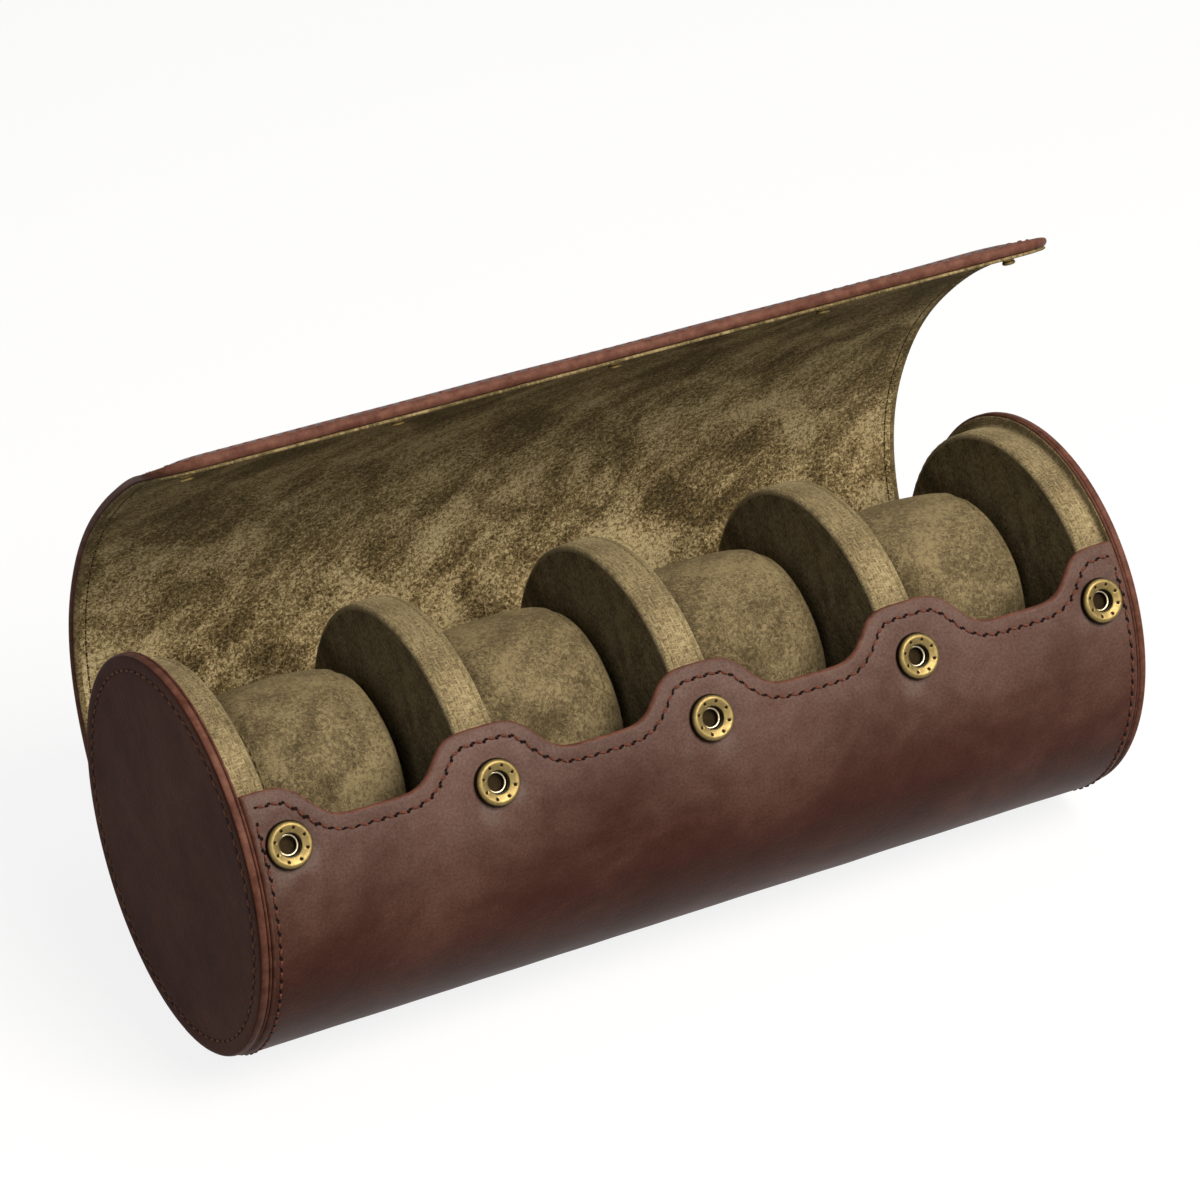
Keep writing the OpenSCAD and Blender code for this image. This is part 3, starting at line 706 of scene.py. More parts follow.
def lidDistance(x, s, inset=0.0):
    # distance inwards from the sides and the front edge
    r = lid["cornerRadius"]
    px = np.abs(x) - (roll["lidHalf"] - inset - r)
    ps = s - (lidLength - inset - r)
    outside = np.hypot(np.clip(px, 0, None), np.clip(ps, 0, None))
    return r - outside - np.minimum(np.maximum(px, ps), 0)


def lidPare(x, s):
    # the sides are pared thin before they are turned, the front edge is left full
    pare = eased(1 - (roll["lidHalf"] - np.abs(x)) / lid["pareWidth"])
    return lid["pare"] * pare * np.clip((lidLength - s) / 12, 0, 1) * np.clip((s + 4) / 16, 0, 1)


def lidGrid(inset, steps):
    rowsS = []
    breakRows = []
    ends = lid["breaks"] + [lidLength - inset - steps[-1]]
    for a, b in zip(ends[:-1], ends[1:]):
        breakRows.append(len(rowsS))
        count = max(3, int(round((b - a) / lid["rowStep"])))
        rowsS += list(np.linspace(a, b, count + 1)[:-1])
    rowsS += [lidLength - inset - d for d in steps[::-1]]
    breakRows.append(len(rowsS) - 1)
    count = int(round(2 * (roll["lidHalf"] - inset - steps[-1]) / lid["columnStep"]))
    middle = np.linspace(-1, 1, count + 1)
    sides = np.array(steps[:-1])
    x = []
    for s in rowsS:
        half = lidHalfWidth(s, inset)
        x.append(np.concatenate([sides - half, middle * (half - steps[-1]), half - sides[::-1]]))
    x = np.array(x)
    return x, np.repeat(np.array(rowsS)[:, None], x.shape[1], 1), breakRows


def bendPiece(piece, k):
    # bakes the piece's place into its mesh; the ends of the turn are worked out but not used, so nothing
    # is turned
    ends = lid["breaks"] + [lidLength]
    a = ends[k] + 1.0
    b = ends[k + 1] - 1.0
    if k == len(lid["breaks"]) - 1:
        b = 2 * (lidLength - roll["stretches"][-1][0]) - a
    start = sheetPlace(0.0, a, 2.0)
    end = sheetPlace(0.0, b, 2.0)
    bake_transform(piece)


def lidLayer(name, x, s, breakRows, top, bottom, materials):
    # cuts one layer of the lid into its seven pieces
    verts, faces, uvs, faceRows, faceCols = sheetMesh(x, s, top, bottom, False, True)
    normals = vertexNormals(verts, faces)
    rim = (faceRows > x.shape[0] - 6) | (faceCols < 4) | (faceCols > x.shape[1] - 6)
    pieces = []
    for k in range(len(lid["breaks"])):
        mine = (faceRows >= breakRows[k]) & (faceRows < breakRows[k + 1])
        used, picked = np.unique(faces[mine], return_inverse=True)
        piece = makeObject(f"{name}{k + 1}", verts[used], picked.reshape(-1, 4).tolist(), materials,
                           rim[mine], uvs[used], normals[used])
        bendPiece(piece, k)
        pieces.append(piece)
    return pieces


def buildLidLeather():
    x, s, breakRows = lidGrid(0.0, edgeSteps)
    d = lidDistance(x, s)
    top, bottom = roundedSides(sheetThick, roll["lining"], d, sheet["farAway"], lid["edgeRound"])
    top -= lidPare(x, s) * np.sqrt(np.clip(d / 1.2, 0, 1))
    top -= lid["furrow"] * hill(d - lid["stitch"], 0.45)
    away = np.clip((d - 3) / 8, 0, 1) * np.clip(s / 20, 0, 1)
    top += lid["wave"] * away * softNoise(x, s, 42.0, 5.5)
    return lidLayer("lidLeather", x, s, breakRows, top, bottom, [wrapLeather, waxedEdge])


def buildLidLining():
    inset = lid["liningInset"]
    x, s, breakRows = lidGrid(inset, [0.0, 0.1, 0.3, 0.7, 1.6, 3.4, 3.9, 4.4, 6.0])
    d = lidDistance(x, s, inset)
    low = 0.16 * hill(d - lid["stitch"] + inset, 0.5) - 0.1 * hill(d - 1.0, 0.8)
    low += 0.14 * np.clip(d / 8, 0, 1) * softNoise(x, s, 26.0, 2.2)
    top, bottom = roundedSides(roll["lining"] - 0.02, low, d, sheet["farAway"], 0.5)
    return lidLayer("lidLining", x, s, breakRows, top, bottom, [brushedSuede, rawSuedeEdge])


def buildLid():
    for nodes, leatherPiece, liningPiece in zip(lidNodes, buildLidLeather(), buildLidLining()):
        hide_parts(nodes[0], nodes[1])
        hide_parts(nodes[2])


buildLid()
print("lid made")

# Each stitch is a short length of thread that dives into a hole at both ends; each hole is drawn as a
# flat oval painted near black, as painted shade
stitching = {
    "pitch": 3.6,
    "length": 2.4,
    "radius": 0.42,
    "slant": 0.22,  # lean of the stitches along the front edge
    "sink": 0.09,  # the thread lies in its furrow
    "rings": 7,
    "sides": 6,
    "holeSides": 8,
}


def stitchMesh(stitches, radius, rise, slant=0.0, holes=True):
    # stitches are (start, end, outward normal) in millimetres
    verts = []
    faces = []
    mats = []
    rings = stitching["rings"]
    sides = stitching["sides"]
    for start, end, normal in stitches:
        start = Vector(start)
        end = Vector(end)
        normal = Vector(normal).normalized()
        along = (end - start).normalized()
        across = along.cross(normal)
        shift = across * (slant * (end - start).length / 2)
        a = start - shift
        b = end + shift
        tube = tubeFaces(rings, sides, len(verts))
        faces += tube
        mats += [0] * len(tube)
        for i in range(rings):
            u = i / (rings - 1)
            lift = rise - (rise + radius * 1.6) * abs(2 * u - 1) ** 3
            centre = a.lerp(b, u) + normal * lift
            thin = radius * (0.78 + 0.22 * math.sin(math.pi * u))
            for j in range(sides):
                angle = 2 * math.pi * j / sides
                verts.append(centre + across * (thin * math.cos(angle))
                             + normal * (thin * math.sin(angle)))
        # each hole is a flat oval just over the surface, painted near black as the hole's shade
        for point, turn in ((a, -1), (b, 1)) if holes else ():
            tilt = (along + across * (slant * 1.5)).normalized()
            point = point + along * (turn * 0.25)
            wide = tilt.cross(normal)
            faces.append(tuple(range(len(verts), len(verts) + stitching["holeSides"])))
            mats.append(1)
            for j in range(stitching["holeSides"]):
                angle = 2 * math.pi * j / stitching["holeSides"]
                verts.append(point + tilt * (radius * 1.3 * math.cos(angle))
                             + wide * (radius * 1.15 * math.sin(angle)) + normal * 0.03)
    return verts, faces, mats


def walk(points, normals, pitch, length):
    # evenly spaced stitches along a line of points
    along = lengthAlong(points)
    count = int(along[-1] // pitch)
    spare = (along[-1] - count * pitch) / 2

    def at(t, values):
        return [float(np.interp(t, along, values[:, i])) for i in range(3)]

    made = []
    for i in range(count):
        t = spare + i * pitch + (pitch - length) / 2
        made.append((at(t, points), at(t + length, points), at(t + length / 2, normals)))
    return made


def sheetStitches(x, s, off, outward=1):
    # stitches along a line on the sheet, off outwards from the lining's surface
    points = sheetPlace(x, s, off)
    normals = (sheetPlace(x, s, np.asarray(off) + 0.5) - points) * outward
    return walk(points, normals, stitching["pitch"], stitching["length"]), points


def stitchPiece(name, stitches, thread, radius, rise=0.1, slant=0.0, holes=True):
    verts, faces, mats = stitchMesh(stitches, radius, rise, slant, holes)
    return makeObject(name, verts, faces, [thread, awlHole], mats)


def buildWrapStitches():
    # along the scooped edge, then down each end
    height = sheetThick - stitching["sink"]
    t = np.linspace(wrap["endStitch"], edgeAlong[-1] - wrap["endStitch"], 900)
    line = edgeInset(t, wrap["frontStitch"])
    stitches = sheetStitches(line[:, 0], crestS + line[:, 1] * outerShare, height)[0]
    s = np.linspace(crestS + (wrap["frontStitch"] + 3.4) * outerShare, -6, 400)
    for side in (-1, 1):
        stitches += sheetStitches(side * (roll["wrapHalf"] - wrap["endStitch"]), s, height)[0]
    piece = stitchPiece("wrapThread", stitches, waxedThread, stitching["radius"],
                        slant=stitching["slant"])
    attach(piece, "case")


def lidOutline():
    # (x, s) along the lid's three free edges, in from them by the stitches' distance
    r = lid["cornerRadius"] - lid["stitch"]
    half = roll["lidHalf"] - lid["stitch"]
    end = lidLength - lid["stitch"]
    line = [(-half, v) for v in np.linspace(-2, end - r, 300)]
    line += arcPoints(r - half, end - r, r, 180, 90, 29)[1:]
    line += [(v, end) for v in np.linspace(r - half, half - r, 300)[1:]]
    line += arcPoints(half - r, end - r, r, 90, 0, 29)[1:]
    line += [(half, v) for v in np.linspace(end - r, -2, 300)[1:]]
    return np.array(line)


def buildLidStitches():
    x, s = lidOutline().T
    leatherTop = sheetThick - stitching["sink"] - lidPare(x, s)
    for name, thread, off, outward, radius, rise in (
            ("lidThread", waxedThread, leatherTop, 1, 0.36, 0.1),
            ("liningThread", oliveThread, 0.1, -1, 0.26, 0.02)):
        stitches, points = sheetStitches(x, s, off, outward)
        # sort the stitches into the lid's pieces by where their middles lie
        along = lengthAlong(points)
        spare = (along[-1] - len(stitches) * stitching["pitch"]) / 2
        middles = spare + (np.arange(len(stitches)) + 0.5) * stitching["pitch"]
        owners = np.searchsorted(lid["breaks"], np.interp(middles, along, s), "right") - 1
        for k in range(len(lid["breaks"])):
            mine = [stitch for stitch, owner in zip(stitches, owners) if owner == k]
            if mine:
                bendPiece(stitchPiece(f"{name}{k + 1}", mine, thread, radius, rise), k)


buildWrapStitches()
buildLidStitches()
print("stitching made")


# End caps, each with its piping and a ring of stitches
cap = {
    "radius": 53.4,
    "inner": 130.0,
    "thick": 2.2,
    "stitch": 4.3,  # in from the rim
    "pitch": 3.9,
    "length": 2.7,
    "threadRadius": 0.33,
    "sink": 0.12,  # the thread and the middle of the face lie this much lower
    "piping": (0.8, 0.42),  # half its height and width
    "steps": 240,
}


def axisPoint(x):
    return (x, 0.0, roll["axisHeight"])


def onFloor(verts):
    return [Vector((v[0], v[1], max(v[2], 0.0))) for v in verts]


def ringStitches(x, radius, pitch, length, normal=None):
    # stitches round a circle about the roll's axis, facing outwards where no normal is given
    angles = np.linspace(0, 2 * math.pi, 721)
    out = np.stack([0 * angles, np.sin(angles), np.cos(angles)], -1)
    normals = out if normal is None else np.full_like(out, normal)
    return walk(np.array(axisPoint(x)) + radius * out, normals, pitch, length)


def capProfile():
    # from the edge that is turned in, over the rim and the stitches' furrow to the middle
    r = cap["radius"]
    t = cap["thick"]
    seam = r - cap["stitch"]
    profile = [(r - 3.0, 0.0), (r - 0.5, 0.02), (r - 0.12, 0.2), (r, 0.6), (r, 1.2), (r - 0.12, 1.6),
               (r - 0.4, 1.95), (r - 0.8, 2.14), (r - 1.3, t), (r - 2.2, t), (r - 3.2, t - 0.02),
               (seam + 0.5, t - 0.08), (seam, t - 0.24), (seam - 0.5, t - 0.08), (seam - 1.2, t - 0.02)]
    return profile + [((r - 8) * (1 - k / 14), t) for k in range(14)] + [(0.01, t)]


def buildCap(side, name):
    steps = cap["steps"]

    def shape(radius, height, angle):
        if height > 1.9 and radius < cap["radius"] - 6:
            place = (radius * math.cos(angle) / 24, radius * math.sin(angle) / 24, side * 4.0)
            height -= cap["sink"] * (1 - noise.noise(Vector(place)))
        return radius, height

    verts, faces = revolve(capProfile(), axisPoint(side * cap["inner"]), (side, 0, 0), (0, 0, 1),
                           steps, shape)
    verts = onFloor(verts)
    rim = [i // steps < 6 for i in range(len(faces))]
    piece = makeObject(f"{name}CapLeather", verts, faces, [capLeather, waxedEdge], rim,
                       [(v[1], v[2]) for v in verts])
    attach(piece, "case")
    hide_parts(f"{name}_cap_leather")
    # piping: a folded strip of the same leather between cap and wrap
    high, wide = cap["piping"]
    ring = [(cap["radius"] - high + high * math.cos(a), wide * math.sin(a))
            for a in np.linspace(0, 2 * math.pi, 13)]
    verts, faces = revolve(ring, axisPoint(side * (cap["inner"] - 0.45)), (side, 0, 0), (0, 0, 1), 200)
    piping = makeObject(f"{name}CapPiping", onFloor(verts), faces, [waxedEdge])
    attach(piping, "case")
    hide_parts(f"{name}_cap_piping")
    stitches = ringStitches(side * (cap["inner"] + cap["thick"] - cap["sink"]),
                            cap["radius"] - cap["stitch"], cap["pitch"], cap["length"], (side, 0, 0))
    thread = stitchPiece(f"{name}CapThread", stitches, paleThread, cap["threadRadius"])
    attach(thread, "case")


# Padded discs: two end pads and three dividers
disc = {
    "radius": roll["bayRadius"],
    "rimRound": 1.7,
    "seam": 2.0,  # in from a face
    "seamWidth": 0.35,
    "crown": 0.18,  # how far the rim's cloth swells
    "swell": 0.22,
    "pucker": 0.07,
    "puckers": 78,
    "wave": 0.14,
    "padOuter": 129.95,
    "padInner": 120.5,
    "dividerHalf": 5.6,
    "pitch": 3.1,
    "length": 2.0,
    "threadRadius": 0.2,
    "steps": 240,
}
# the pads' cloth is turned up over the cap's inner face: (out from the rim, in from the end)
turnUp = [(2.3, 0.0), (2.9, 0.15), (3.0, 0.5), (2.9, 0.85), (2.4, 0.98), (1.4, 1.0), (0.7, 1.05),
          (0.3, 1.3), (0.08, 1.75)]


def discEnd(rounded):
    # (radius, depth in from the face) from the middle of a face to its seam
    radius = disc["radius"]
    rim = disc["rimRound"]
    seam = disc["seam"]
    points = [(0.01, 0.0)] + [(radius * k / 12, 0.0) for k in range(1, 11)]
    if not rounded:
        return points + [(radius - 1.0, 0.0)] + [(radius + r, h) for r, h in turnUp]
    points += [(radius - rim - 1.0, 0.0), (radius - rim, 0.03)]
    for a in (18, 36, 54, 72):
        a = math.radians(a)
        points.append((radius - rim * (1 - math.sin(a)), rim * (1 - math.cos(a))))
    return points + [(radius - 0.1, rim), (radius - 0.42, seam),
                     (radius - 0.08, seam + disc["seamWidth"])]


def discProfile(low, high, roundLow, roundHigh):
    # from the middle of the low face over the rim to the middle of the high face
    lowEnd = [(r, low + h) for r, h in discEnd(roundLow)]
    highEnd = [(r, high - h) for r, h in reversed(discEnd(roundHigh))]
    start = lowEnd[-1][1]
    end = highEnd[0][1]
    rim = []
    for u in (k / 8 for k in range(1, 8)):
        rim.append((disc["radius"] - 0.08 + disc["crown"] * 4 * u * (1 - u), start + (end - start) * u))
    return lowEnd + rim + highEnd


def discUvs(verts, profile, flats):
    # faces lie flat on the pattern, and the rim is unrolled round the disc
    steps = disc["steps"]
    uvs = []
    run = lengthAlong(np.array(profile))
    for i, v in enumerate(verts):
        k, step = divmod(i, steps)
        if flats[k]:
            uvs.append((v[1] + 300, v[2]))
        else:
            uvs.append((min(step, steps - step) * 2 * math.pi * disc["radius"] / steps, run[k]))
    return uvs


def clothDisc(name, low, high, roundLow, roundHigh, seed, nodes):
    radius = disc["radius"]
    steps = disc["steps"]
    profile = discProfile(low, high, roundLow, roundHigh)

    def shape(r, h, a):
        # the faces swell a little and the cloth puckers along the seams
        pucker = disc["pucker"] * math.sin(a * disc["puckers"] + seed) * hill(r - radius, 3.5)
        if r < radius - 2:
            wave = noise.noise(Vector((r * math.cos(a) / 16, r * math.sin(a) / 16, seed)))
            swell = disc["swell"] * (1 - (r / radius) ** 4) + disc["wave"] * wave + pucker - 0.15
            if h > (low + high) / 2 and roundHigh:
                h += swell
            elif h < (low + high) / 2 and roundLow:
                h -= swell
        elif r > radius - 1.5:
            r += pucker - 0.1 + 0.12 * noise.noise(Vector((a * 6, h / 6, seed)))
        return r, h

    verts, faces = revolve(profile, axisPoint(0.0), (1, 0, 0), (0, 0, 1), steps, shape)
    flats = [r < radius - 1.45 and min(abs(h - low), abs(h - high)) < 0.9 for r, h in profile]
    onFace = [flats[i // steps] and flats[i // steps + 1] for i in range(len(faces))]
    piece = makeObject(name, verts, faces, [woolCloth, faceSuede], onFace,
                       discUvs(verts, profile, flats))
    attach(piece, "case")
    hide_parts(*nodes)
    stitches = []
    for rounded, x in ((roundLow, low + disc["seam"]), (roundHigh, high - disc["seam"])):
        if rounded:
            stitches += ringStitches(x, radius - 0.5, disc["pitch"], disc["length"])
    thread = stitchPiece(f"{name}Thread", stitches, oliveThread, disc["threadRadius"], 0.08,
                         holes=False)
    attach(thread, "case")


def buildDiscs():
    inner = disc["padInner"]
    outer = disc["padOuter"]
    half = disc["dividerHalf"]
    clothDisc("rightPad", inner, outer, True, False, 1.0, ["right_pad_cover"])
    clothDisc("leftPad", -outer, -inner, False, True, 2.0, ["left_pad_cover"])
    for k, x in enumerate(roll["dividerCentres"]):
        clothDisc(f"divider{k + 1}", x - half, x + half, True, True, 3.0 + k,
                  [f"divider_cover_{k + 1}"])


buildCap(-1, "left")
buildCap(1, "right")
buildDiscs()
print("caps, pads and dividers made")

# Pillows: one is simulated as a stuffed cover under pressure, the others are its copies. Seen
# from the side, a pillow's outline runs round two circles, one at the top and one at the foot
pillow = {
    "length": 47.0,
    "topRadius": 33.0,
    "footRadius": 26.0,
    "topHeight": 3.0,  # over the roll's axis
    "topBack": 5.0,  # behind it
    "footBack": 2.0,
    "crown": 1.6,
    "endLength": 9.0,  # over which the ends are rounded
    "endNarrow": 0.42,  # the ends narrow less than that, so that they stay broad and soft
    "around": 72,
    "levels": 40,
    "voxel": 3.2,
    "pressure": 3.0,
    "frames": 20,
    "reach": 2.2,  # the most that the stuffing moves the cover
    "endSwell": 0.6,
    "seam": 6.2,  # in from the ends
    "seamPull": 0.9,  # depth and width of the groove that the seam makes
    "clearRadius": 49.3,
    "uneven": 0.35,
    "pitch": 3.0,
    "stitchLength": 2.1,
    "threadRadius": 0.2,
}
footHeight = -math.sqrt((roll["bayRadius"] - pillow["footRadius"]) ** 2 - pillow["footBack"] ** 2)
pillowY = (pillow["footBack"] + pillow["topBack"]) / 2
pillowZ = (footHeight + pillow["topHeight"]) / 2


def pillowOutline(a, inset):
    w = eased((1 + math.sin(a)) / 2)
    r = pillow["footRadius"] + w * (pillow["topRadius"] - pillow["footRadius"]) - inset
    y = pillow["footBack"] + w * (pillow["topBack"] - pillow["footBack"])
    z = footHeight + w * (pillow["topHeight"] - footHeight)
    return y + r * math.cos(a), z + r * math.sin(a)


def pillowSection(u):
    # share of full size and inset at u from -1 to 1 along the pillow
    half = pillow["length"] / 2
    x = u * half
    body = half - pillow["endLength"]
    if abs(x) <= body:
        return 1.0, pillow["crown"] * (abs(x) / body) ** 2 * 0.6 + 0.5
    v = (abs(x) - body) / pillow["endLength"]
    return math.sqrt(max(0.0, 1 - v ** 2.3)), pillow["crown"] * 0.6 + 0.5


def pillowForm():
    around = pillow["around"]
    levels = pillow["levels"]
    verts = []
    for k in range(1, levels):
        u = -math.cos(math.pi * k / levels)
        share, inset = pillowSection(u)
        narrow = 1 - (1 - share) * pillow["endNarrow"]
        for i in range(around):
            y, z = pillowOutline(2 * math.pi * i / around, inset)
            verts.append((u * pillow["length"] / 2, pillowY + (y - pillowY) * narrow,
                          pillowZ + (z - pillowZ) * narrow))
    faces = [(a, d, c, b) for a, b, c, d in tubeFaces(levels - 1, around)]
    faces.append(tuple(range(around)))
    faces.append(tuple(reversed(range((levels - 2) * around, (levels - 1) * around))))
    return makeObject("pillowForm", verts, faces, [pillowSuede])


def applyModifier(piece, kind, **settings):
    modifier = piece.modifiers.new(kind, kind)
    for key, value in settings.items():
        setattr(modifier, key, value)
    bpy.ops.object.modifier_apply(modifier=kind)


def places(mesh):
    return np.array([v.co for v in mesh.vertices])


def setPlaces(mesh, co):
    mesh.vertices.foreach_set("co", co.astype(np.float32).ravel())


def stuff(form):
    # pressure swells the cover, which may not leave its bay at the ends
    rest = places(form.data)
    settings = form.modifiers.new("cloth", "CLOTH").settings
    settings.quality = 6
    settings.mass = 0.3
    settings.use_pressure = True
    settings.uniform_pressure_force = pillow["pressure"]
    settings.effector_weights.gravity = 0
    settings.tension_stiffness = 12
    settings.bending_stiffness = 0.6
    for f in range(1, pillow["frames"] + 1):
        bpy.context.scene.frame_set(f)
    moved = places(form.evaluated_get(bpy.context.evaluated_depsgraph_get()).data)
    form.modifiers.clear()
    bpy.context.scene.frame_set(1)
    shift = moved - rest
    length = np.linalg.norm(shift, axis=1)
    shift *= np.minimum(1, pillow["reach"] * mm / np.maximum(length, 1e-9))[:, None]
    co = rest + shift
    limit = (pillow["length"] / 2 + pillow["endSwell"]) * mm
    co[:, 0] = np.clip(co[:, 0], -limit, limit)
    setPlaces(form.data, co)


def sewEnds(form):
    # a seam ring near each end pulls the cover in, and the cover keeps clear of the round bay
    co = places(form.data) / mm
    seamAt = pillow["length"] / 2 - pillow["seam"]
    out = co[:, 1:] - (pillowY, pillowZ)
    out /= np.maximum(np.linalg.norm(out, axis=1), 1e-6)[:, None]
    groove = pillow["seamPull"] * hill(np.abs(co[:, 0]) - seamAt, pillow["seamPull"])
    co[:, 1:] -= out * groove[:, None]
    radius = np.hypot(co[:, 1], co[:, 2])
    co[:, 1:] *= np.minimum(1, pillow["clearRadius"] / radius)[:, None]
    setPlaces(form.data, co * mm)
    tree = BVHTree.FromPolygons([tuple(c) for c in co], [tuple(p.vertices) for p in form.data.polygons])
    seams = []
    for x in (-seamAt, seamAt):
        rays = [(0, math.cos(a), math.sin(a)) for a in np.linspace(0, 2 * math.pi, 241)]
        hits = [tree.ray_cast(Vector((x, pillowY, pillowZ)), Vector(ray))[0] for ray in rays]
        found = [(tuple(hit), ray) for hit, ray in zip(hits, rays) if hit is not None]
        points, normals = np.array(found).transpose(1, 0, 2)
        seams += walk(points, normals, pillow["pitch"], pillow["stitchLength"])
    return stitchMesh(seams, pillow["threadRadius"], 0.06, holes=False)


def buildPillows():
    form = pillowForm()
    bpy.context.view_layer.objects.active = form
    form.select_set(True)
    applyModifier(form, "REMESH", mode="VOXEL", voxel_size=pillow["voxel"] * mm)
    stuff(form)
    applyModifier(form, "SMOOTH", factor=0.5, iterations=6)
    applyModifier(form, "SUBSURF", levels=1)
    seamVerts, seamFaces, seamMats = sewEnds(form)
    co = places(form.data)
    out = co - np.array((0, pillowY, pillowZ)) * mm
    out /= np.maximum(np.linalg.norm(out, axis=1), 1e-9)[:, None]
    for k, x in enumerate(roll["bayCentres"]):
        mesh = form.data.copy()
        bumps = np.array([noise.noise(Vector((a * 60, b * 60, c * 60 + 11 * k))) for a, b, c in co])
        setPlaces(mesh, co + out * (bumps[:, None] * pillow["uneven"] * mm) + np.array(axisPoint(x)) * mm)
        mesh.polygons.foreach_set("use_smooth", [True] * len(mesh.polygons))
        piece = addObject(f"pillow{k + 1}", mesh)
        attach(piece, f"pillow_{k + 1}")
        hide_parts(f"pillow_cover_{k + 1}", f"pillow_core_{k + 1}")
        moved = [Vector(v) + Vector(axisPoint(x)) for v in seamVerts]
        thread = makeObject(f"pillowThread{k + 1}", moved, seamFaces, [oliveThread], seamMats)
        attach(thread, f"pillow_{k + 1}")
    bpy.data.objects.remove(form)


buildPillows()
print("pillows made")

# Press studs: a domed ring with punched dimples on the front, and a stud under the lid. The ring's
# heights are measured from the roll's axis, the stud's from the lining
snap = {
    "dimples": 8,
    "dimpleRing": 4.35,
    "dimpleRadius": 0.34,
    "dimpleDepth": 0.4,
    "studIn": 11.8,  # from the lid's front edge
    "ringSteps": 128,
    "studSteps": 48,
    "ring": [(2.98, 53.6), (3.0, 54.2), (3.0, 54.62), (3.04, 54.8), (3.14, 54.93), (3.3, 55.03),
             (3.55, 55.14), (3.85, 55.27), (4.15, 55.4), (4.45, 55.52), (4.75, 55.61), (5.0, 55.65),
             (5.22, 55.63), (5.44, 55.54), (5.64, 55.37), (5.83, 55.12), (5.99, 54.8),
             (6.12, 54.44), (6.2, 54.1), (6.24, 53.75), (6.2, 53.56)],
    "stud": [(0.01, -0.3), (3.0, -0.3), (3.3, -0.1), (3.4, 0.1), (3.3, 0.32), (2.9, 0.48),
             (2.2, 0.54), (1.75, 0.6), (1.58, 0.74), (1.6, 0.9), (1.7, 1.06), (1.79, 1.26),
             (1.8, 1.46), (1.72, 1.68), (1.5, 1.86), (1.15, 1.97), (0.6, 2.03), (0.01, 2.04)],
}


def snapRow(name, profile, y, z, axis, up, steps, shape=None):
    # five of one part, at the press studs' places
    verts = []
    faces = []
    for x in roll["snapCentres"]:
        more, moreFaces = revolve(profile, (x, y, z), axis, up, steps, shape)
        faces += [tuple(i + len(verts) for i in f) for f in moreFaces]
        verts += more
    return makeObject(name, verts, faces, [antiqueBrass])


def buildSnaps():
    recess = []
    turns = [2 * math.pi * (k + 0.5) / snap["dimples"] for k in range(snap["dimples"])]
    dimples = [(snap["dimpleRing"] * math.cos(b), snap["dimpleRing"] * math.sin(b)) for b in turns]

    def shape(r, h, a):
        # the patina stays in the dimples and inside the hole, and the low outer slope of the dome is
        # painted darker as painted shade
        gap = min(math.hypot(r * math.cos(a) - u, r * math.sin(a) - v) for u, v in dimples)
        depth = math.exp(-(gap / snap["dimpleRadius"]) ** 4)
        low = max(0.0, min(1.0, (55.35 - h) / 1.4)) if r > 5 else 0.0
        recess.append(min(1.0, 1.4 * depth + 0.8 * low + (0.9 if h < 54.7 else 0)))
        return r, h - snap["dimpleDepth"] * depth

    angle = math.radians(roll["snapAngle"])
    outward = (0, -math.cos(angle), math.sin(angle))
    piece = snapRow("snapRings", snap["ring"], 0, roll["axisHeight"], outward,
                    (0, math.sin(angle), math.cos(angle)), snap["ringSteps"], shape)
    addValues(piece, "recess", recess)
    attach(piece, "case")
    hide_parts("snap_rings")
    point = sheetPlace(0.0, lidLength - snap["studIn"], 0.0)
    inward = point - sheetPlace(0.0, lidLength - snap["studIn"], 1.0)
    studs = snapRow("snapStuds", snap["stud"], point[1], point[2], inward, (1, 0, 0), snap["studSteps"])
    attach(studs, "lid_flap_2")
    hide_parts("snap_studs")


buildSnaps()
print("press studs made")

# CAD nodes that stay, with their finishes
kept = {
    greyBoard: ["left_cap_board", "right_cap_board"],
    beechWood: ["left_pad_core", "right_pad_core", "divider_core_1", "divider_core_2",
                "divider_core_3"],
    springBrass: ["snap_springs"],
    # the cups are painted nearly black, as painted shade inside the rings' holes
    darkBrass: ["snap_cups", "snap_rivets"],
}
for material, nodeNames in kept.items():
    for nodeName in nodeNames:
        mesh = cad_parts[nodeName].data
        mesh.materials.clear()
        mesh.materials.append(material)
        mesh.polygons.foreach_set("material_index", [0] * len(mesh.polygons))
print("CAD nodes finished")

# The camera that was fitted to the photo: its place in millimetres, and its axes
view = {
    "place": (-529.46, -905.28, 785.96),
    "right": (0.87430, -0.48477, 0.02457),
    "up": (0.24994, 0.49301, 0.83335),
    "back": (-0.41609, -0.72246, 0.55220),
    "lens": 143.85,
}


def buildCamera():
    data = bpy.data.cameras.new("camera")
    data.lens = view["lens"]
    data.sensor_width = 36
    data.clip_start = 0.05
    data.clip_end = 20
    camera = addObject("camera", data)
    axes = Matrix((view["right"], view["up"], view["back"])).transposed().to_4x4()
    axes.translation = Vector(view["place"]) * mm
    camera.matrix_world = axes
    bpy.context.scene.camera = camera


# White paper underfoot and a white room. Both are dim to the light that falls on the object, and
# white to the eye
room = {
    "floorHalf": 6.0,  # metres
    "floorDown": 0.0002,
    "floor": "#626262",
    "glow": "#f6f6f6",
    "glowStrength": 0.92,
    "dim": 0.16,
}


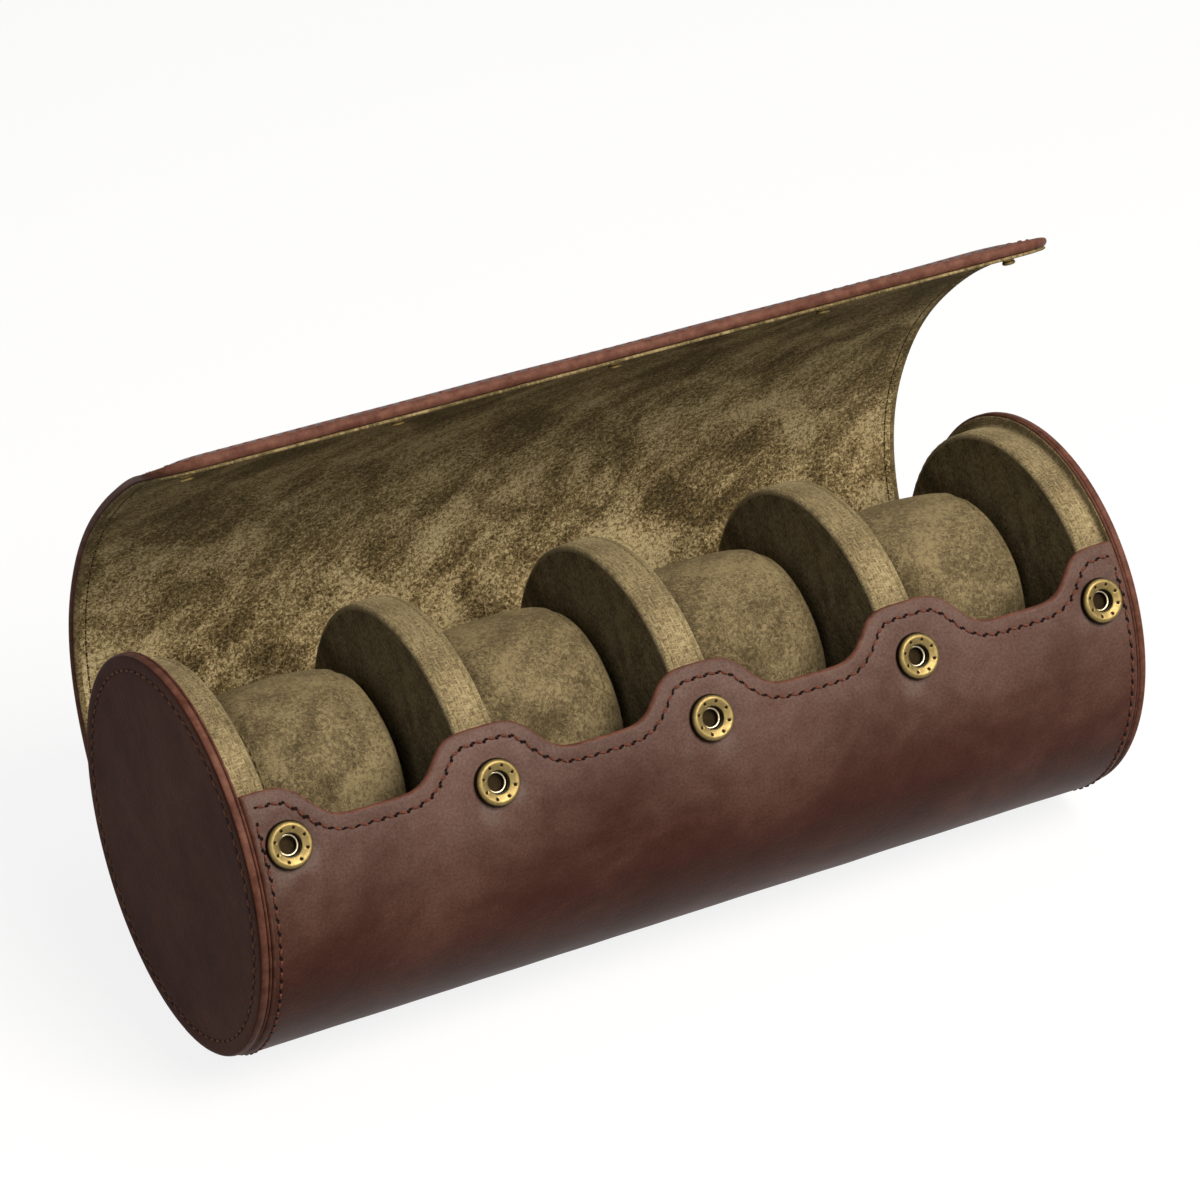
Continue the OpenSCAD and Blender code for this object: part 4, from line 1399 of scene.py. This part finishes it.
def seenByEye(add):
    # 1 for rays that come from the camera, straight or by way of a reflection or glass
    path = add("LightPath")
    either = add("Math", {"operation": "MAXIMUM"},
                 {0: path.outputs["Is Camera Ray"], 1: path.outputs["Is Glossy Ray"]})
    return add("Math", {"operation": "MAXIMUM"}, {0: either, 1: path.outputs["Is Transmission Ray"]})


def litPaper(add):
    diffuse = add("BsdfDiffuse", {"Color": linear(room["floor"])})
    glow = add("Emission", {"Color": linear(room["glow"]), "Strength": room["glowStrength"]})
    lit = add("AddShader", None, {0: diffuse, 1: glow})
    return add("MixShader", None, {0: seenByEye(add), 1: diffuse, 2: lit})


def buildFloor():
    size = room["floorHalf"]
    down = -room["floorDown"]
    mesh = bpy.data.meshes.new("floor")
    corners = [(-size, -size, down), (size, -size, down), (size, size, down), (-size, size, down)]
    mesh.from_pydata(corners, [], [(0, 1, 2, 3)])
    mesh.materials.append(makeMaterial("paperFloor", litPaper))
    addObject("floor", mesh)


lamps = [
    # name, place, aim, size, watts, colour
    ("keyLamp", (0.3, -0.80, 1.14), (0.0, 0.0, 0.06), 0.7, 29.0, "#fff8ee"),
    ("topLamp", (0.3, 0.2, 1.4), (0.0, 0.0, 0.06), 0.8, 5.0, "#ffffff"),
    ("leftLamp", (-1.1, -1.0, 0.9), (0.0, 0.0, 0.05), 0.8, 5.0, "#ffffff"),
]


def buildLight():
    for name, place, aim, size, watts, colour in lamps:
        data = bpy.data.lights.new(name, "AREA")
        data.shape = "SQUARE"
        data.size = size
        data.energy = watts
        data.color = linear(colour)[:3]
        lamp = addObject(name, data)
        lamp.location = place
        lamp.rotation_mode = "QUATERNION"
        lamp.rotation_quaternion = (Vector(place) - Vector(aim)).to_track_quat("Z", "Y")
    world = bpy.data.worlds.new("studio")
    bpy.context.scene.world = world
    world.use_nodes = True
    world.node_tree.nodes.clear()
    add = partial(addNode, world.node_tree)
    plain = add("Background", {"Color": linear("#ffffff"), "Strength": room["dim"]})
    white = add("Background", {"Color": linear("#ffffff"), "Strength": 1.0})
    mixed = add("MixShader", None, {0: seenByEye(add), 1: plain, 2: white})
    add("OutputWorld", None, mixed)
    bpy.context.scene.view_settings.view_transform = "Standard"


buildCamera()
buildFloor()
buildLight()
print("camera, floor and light made")
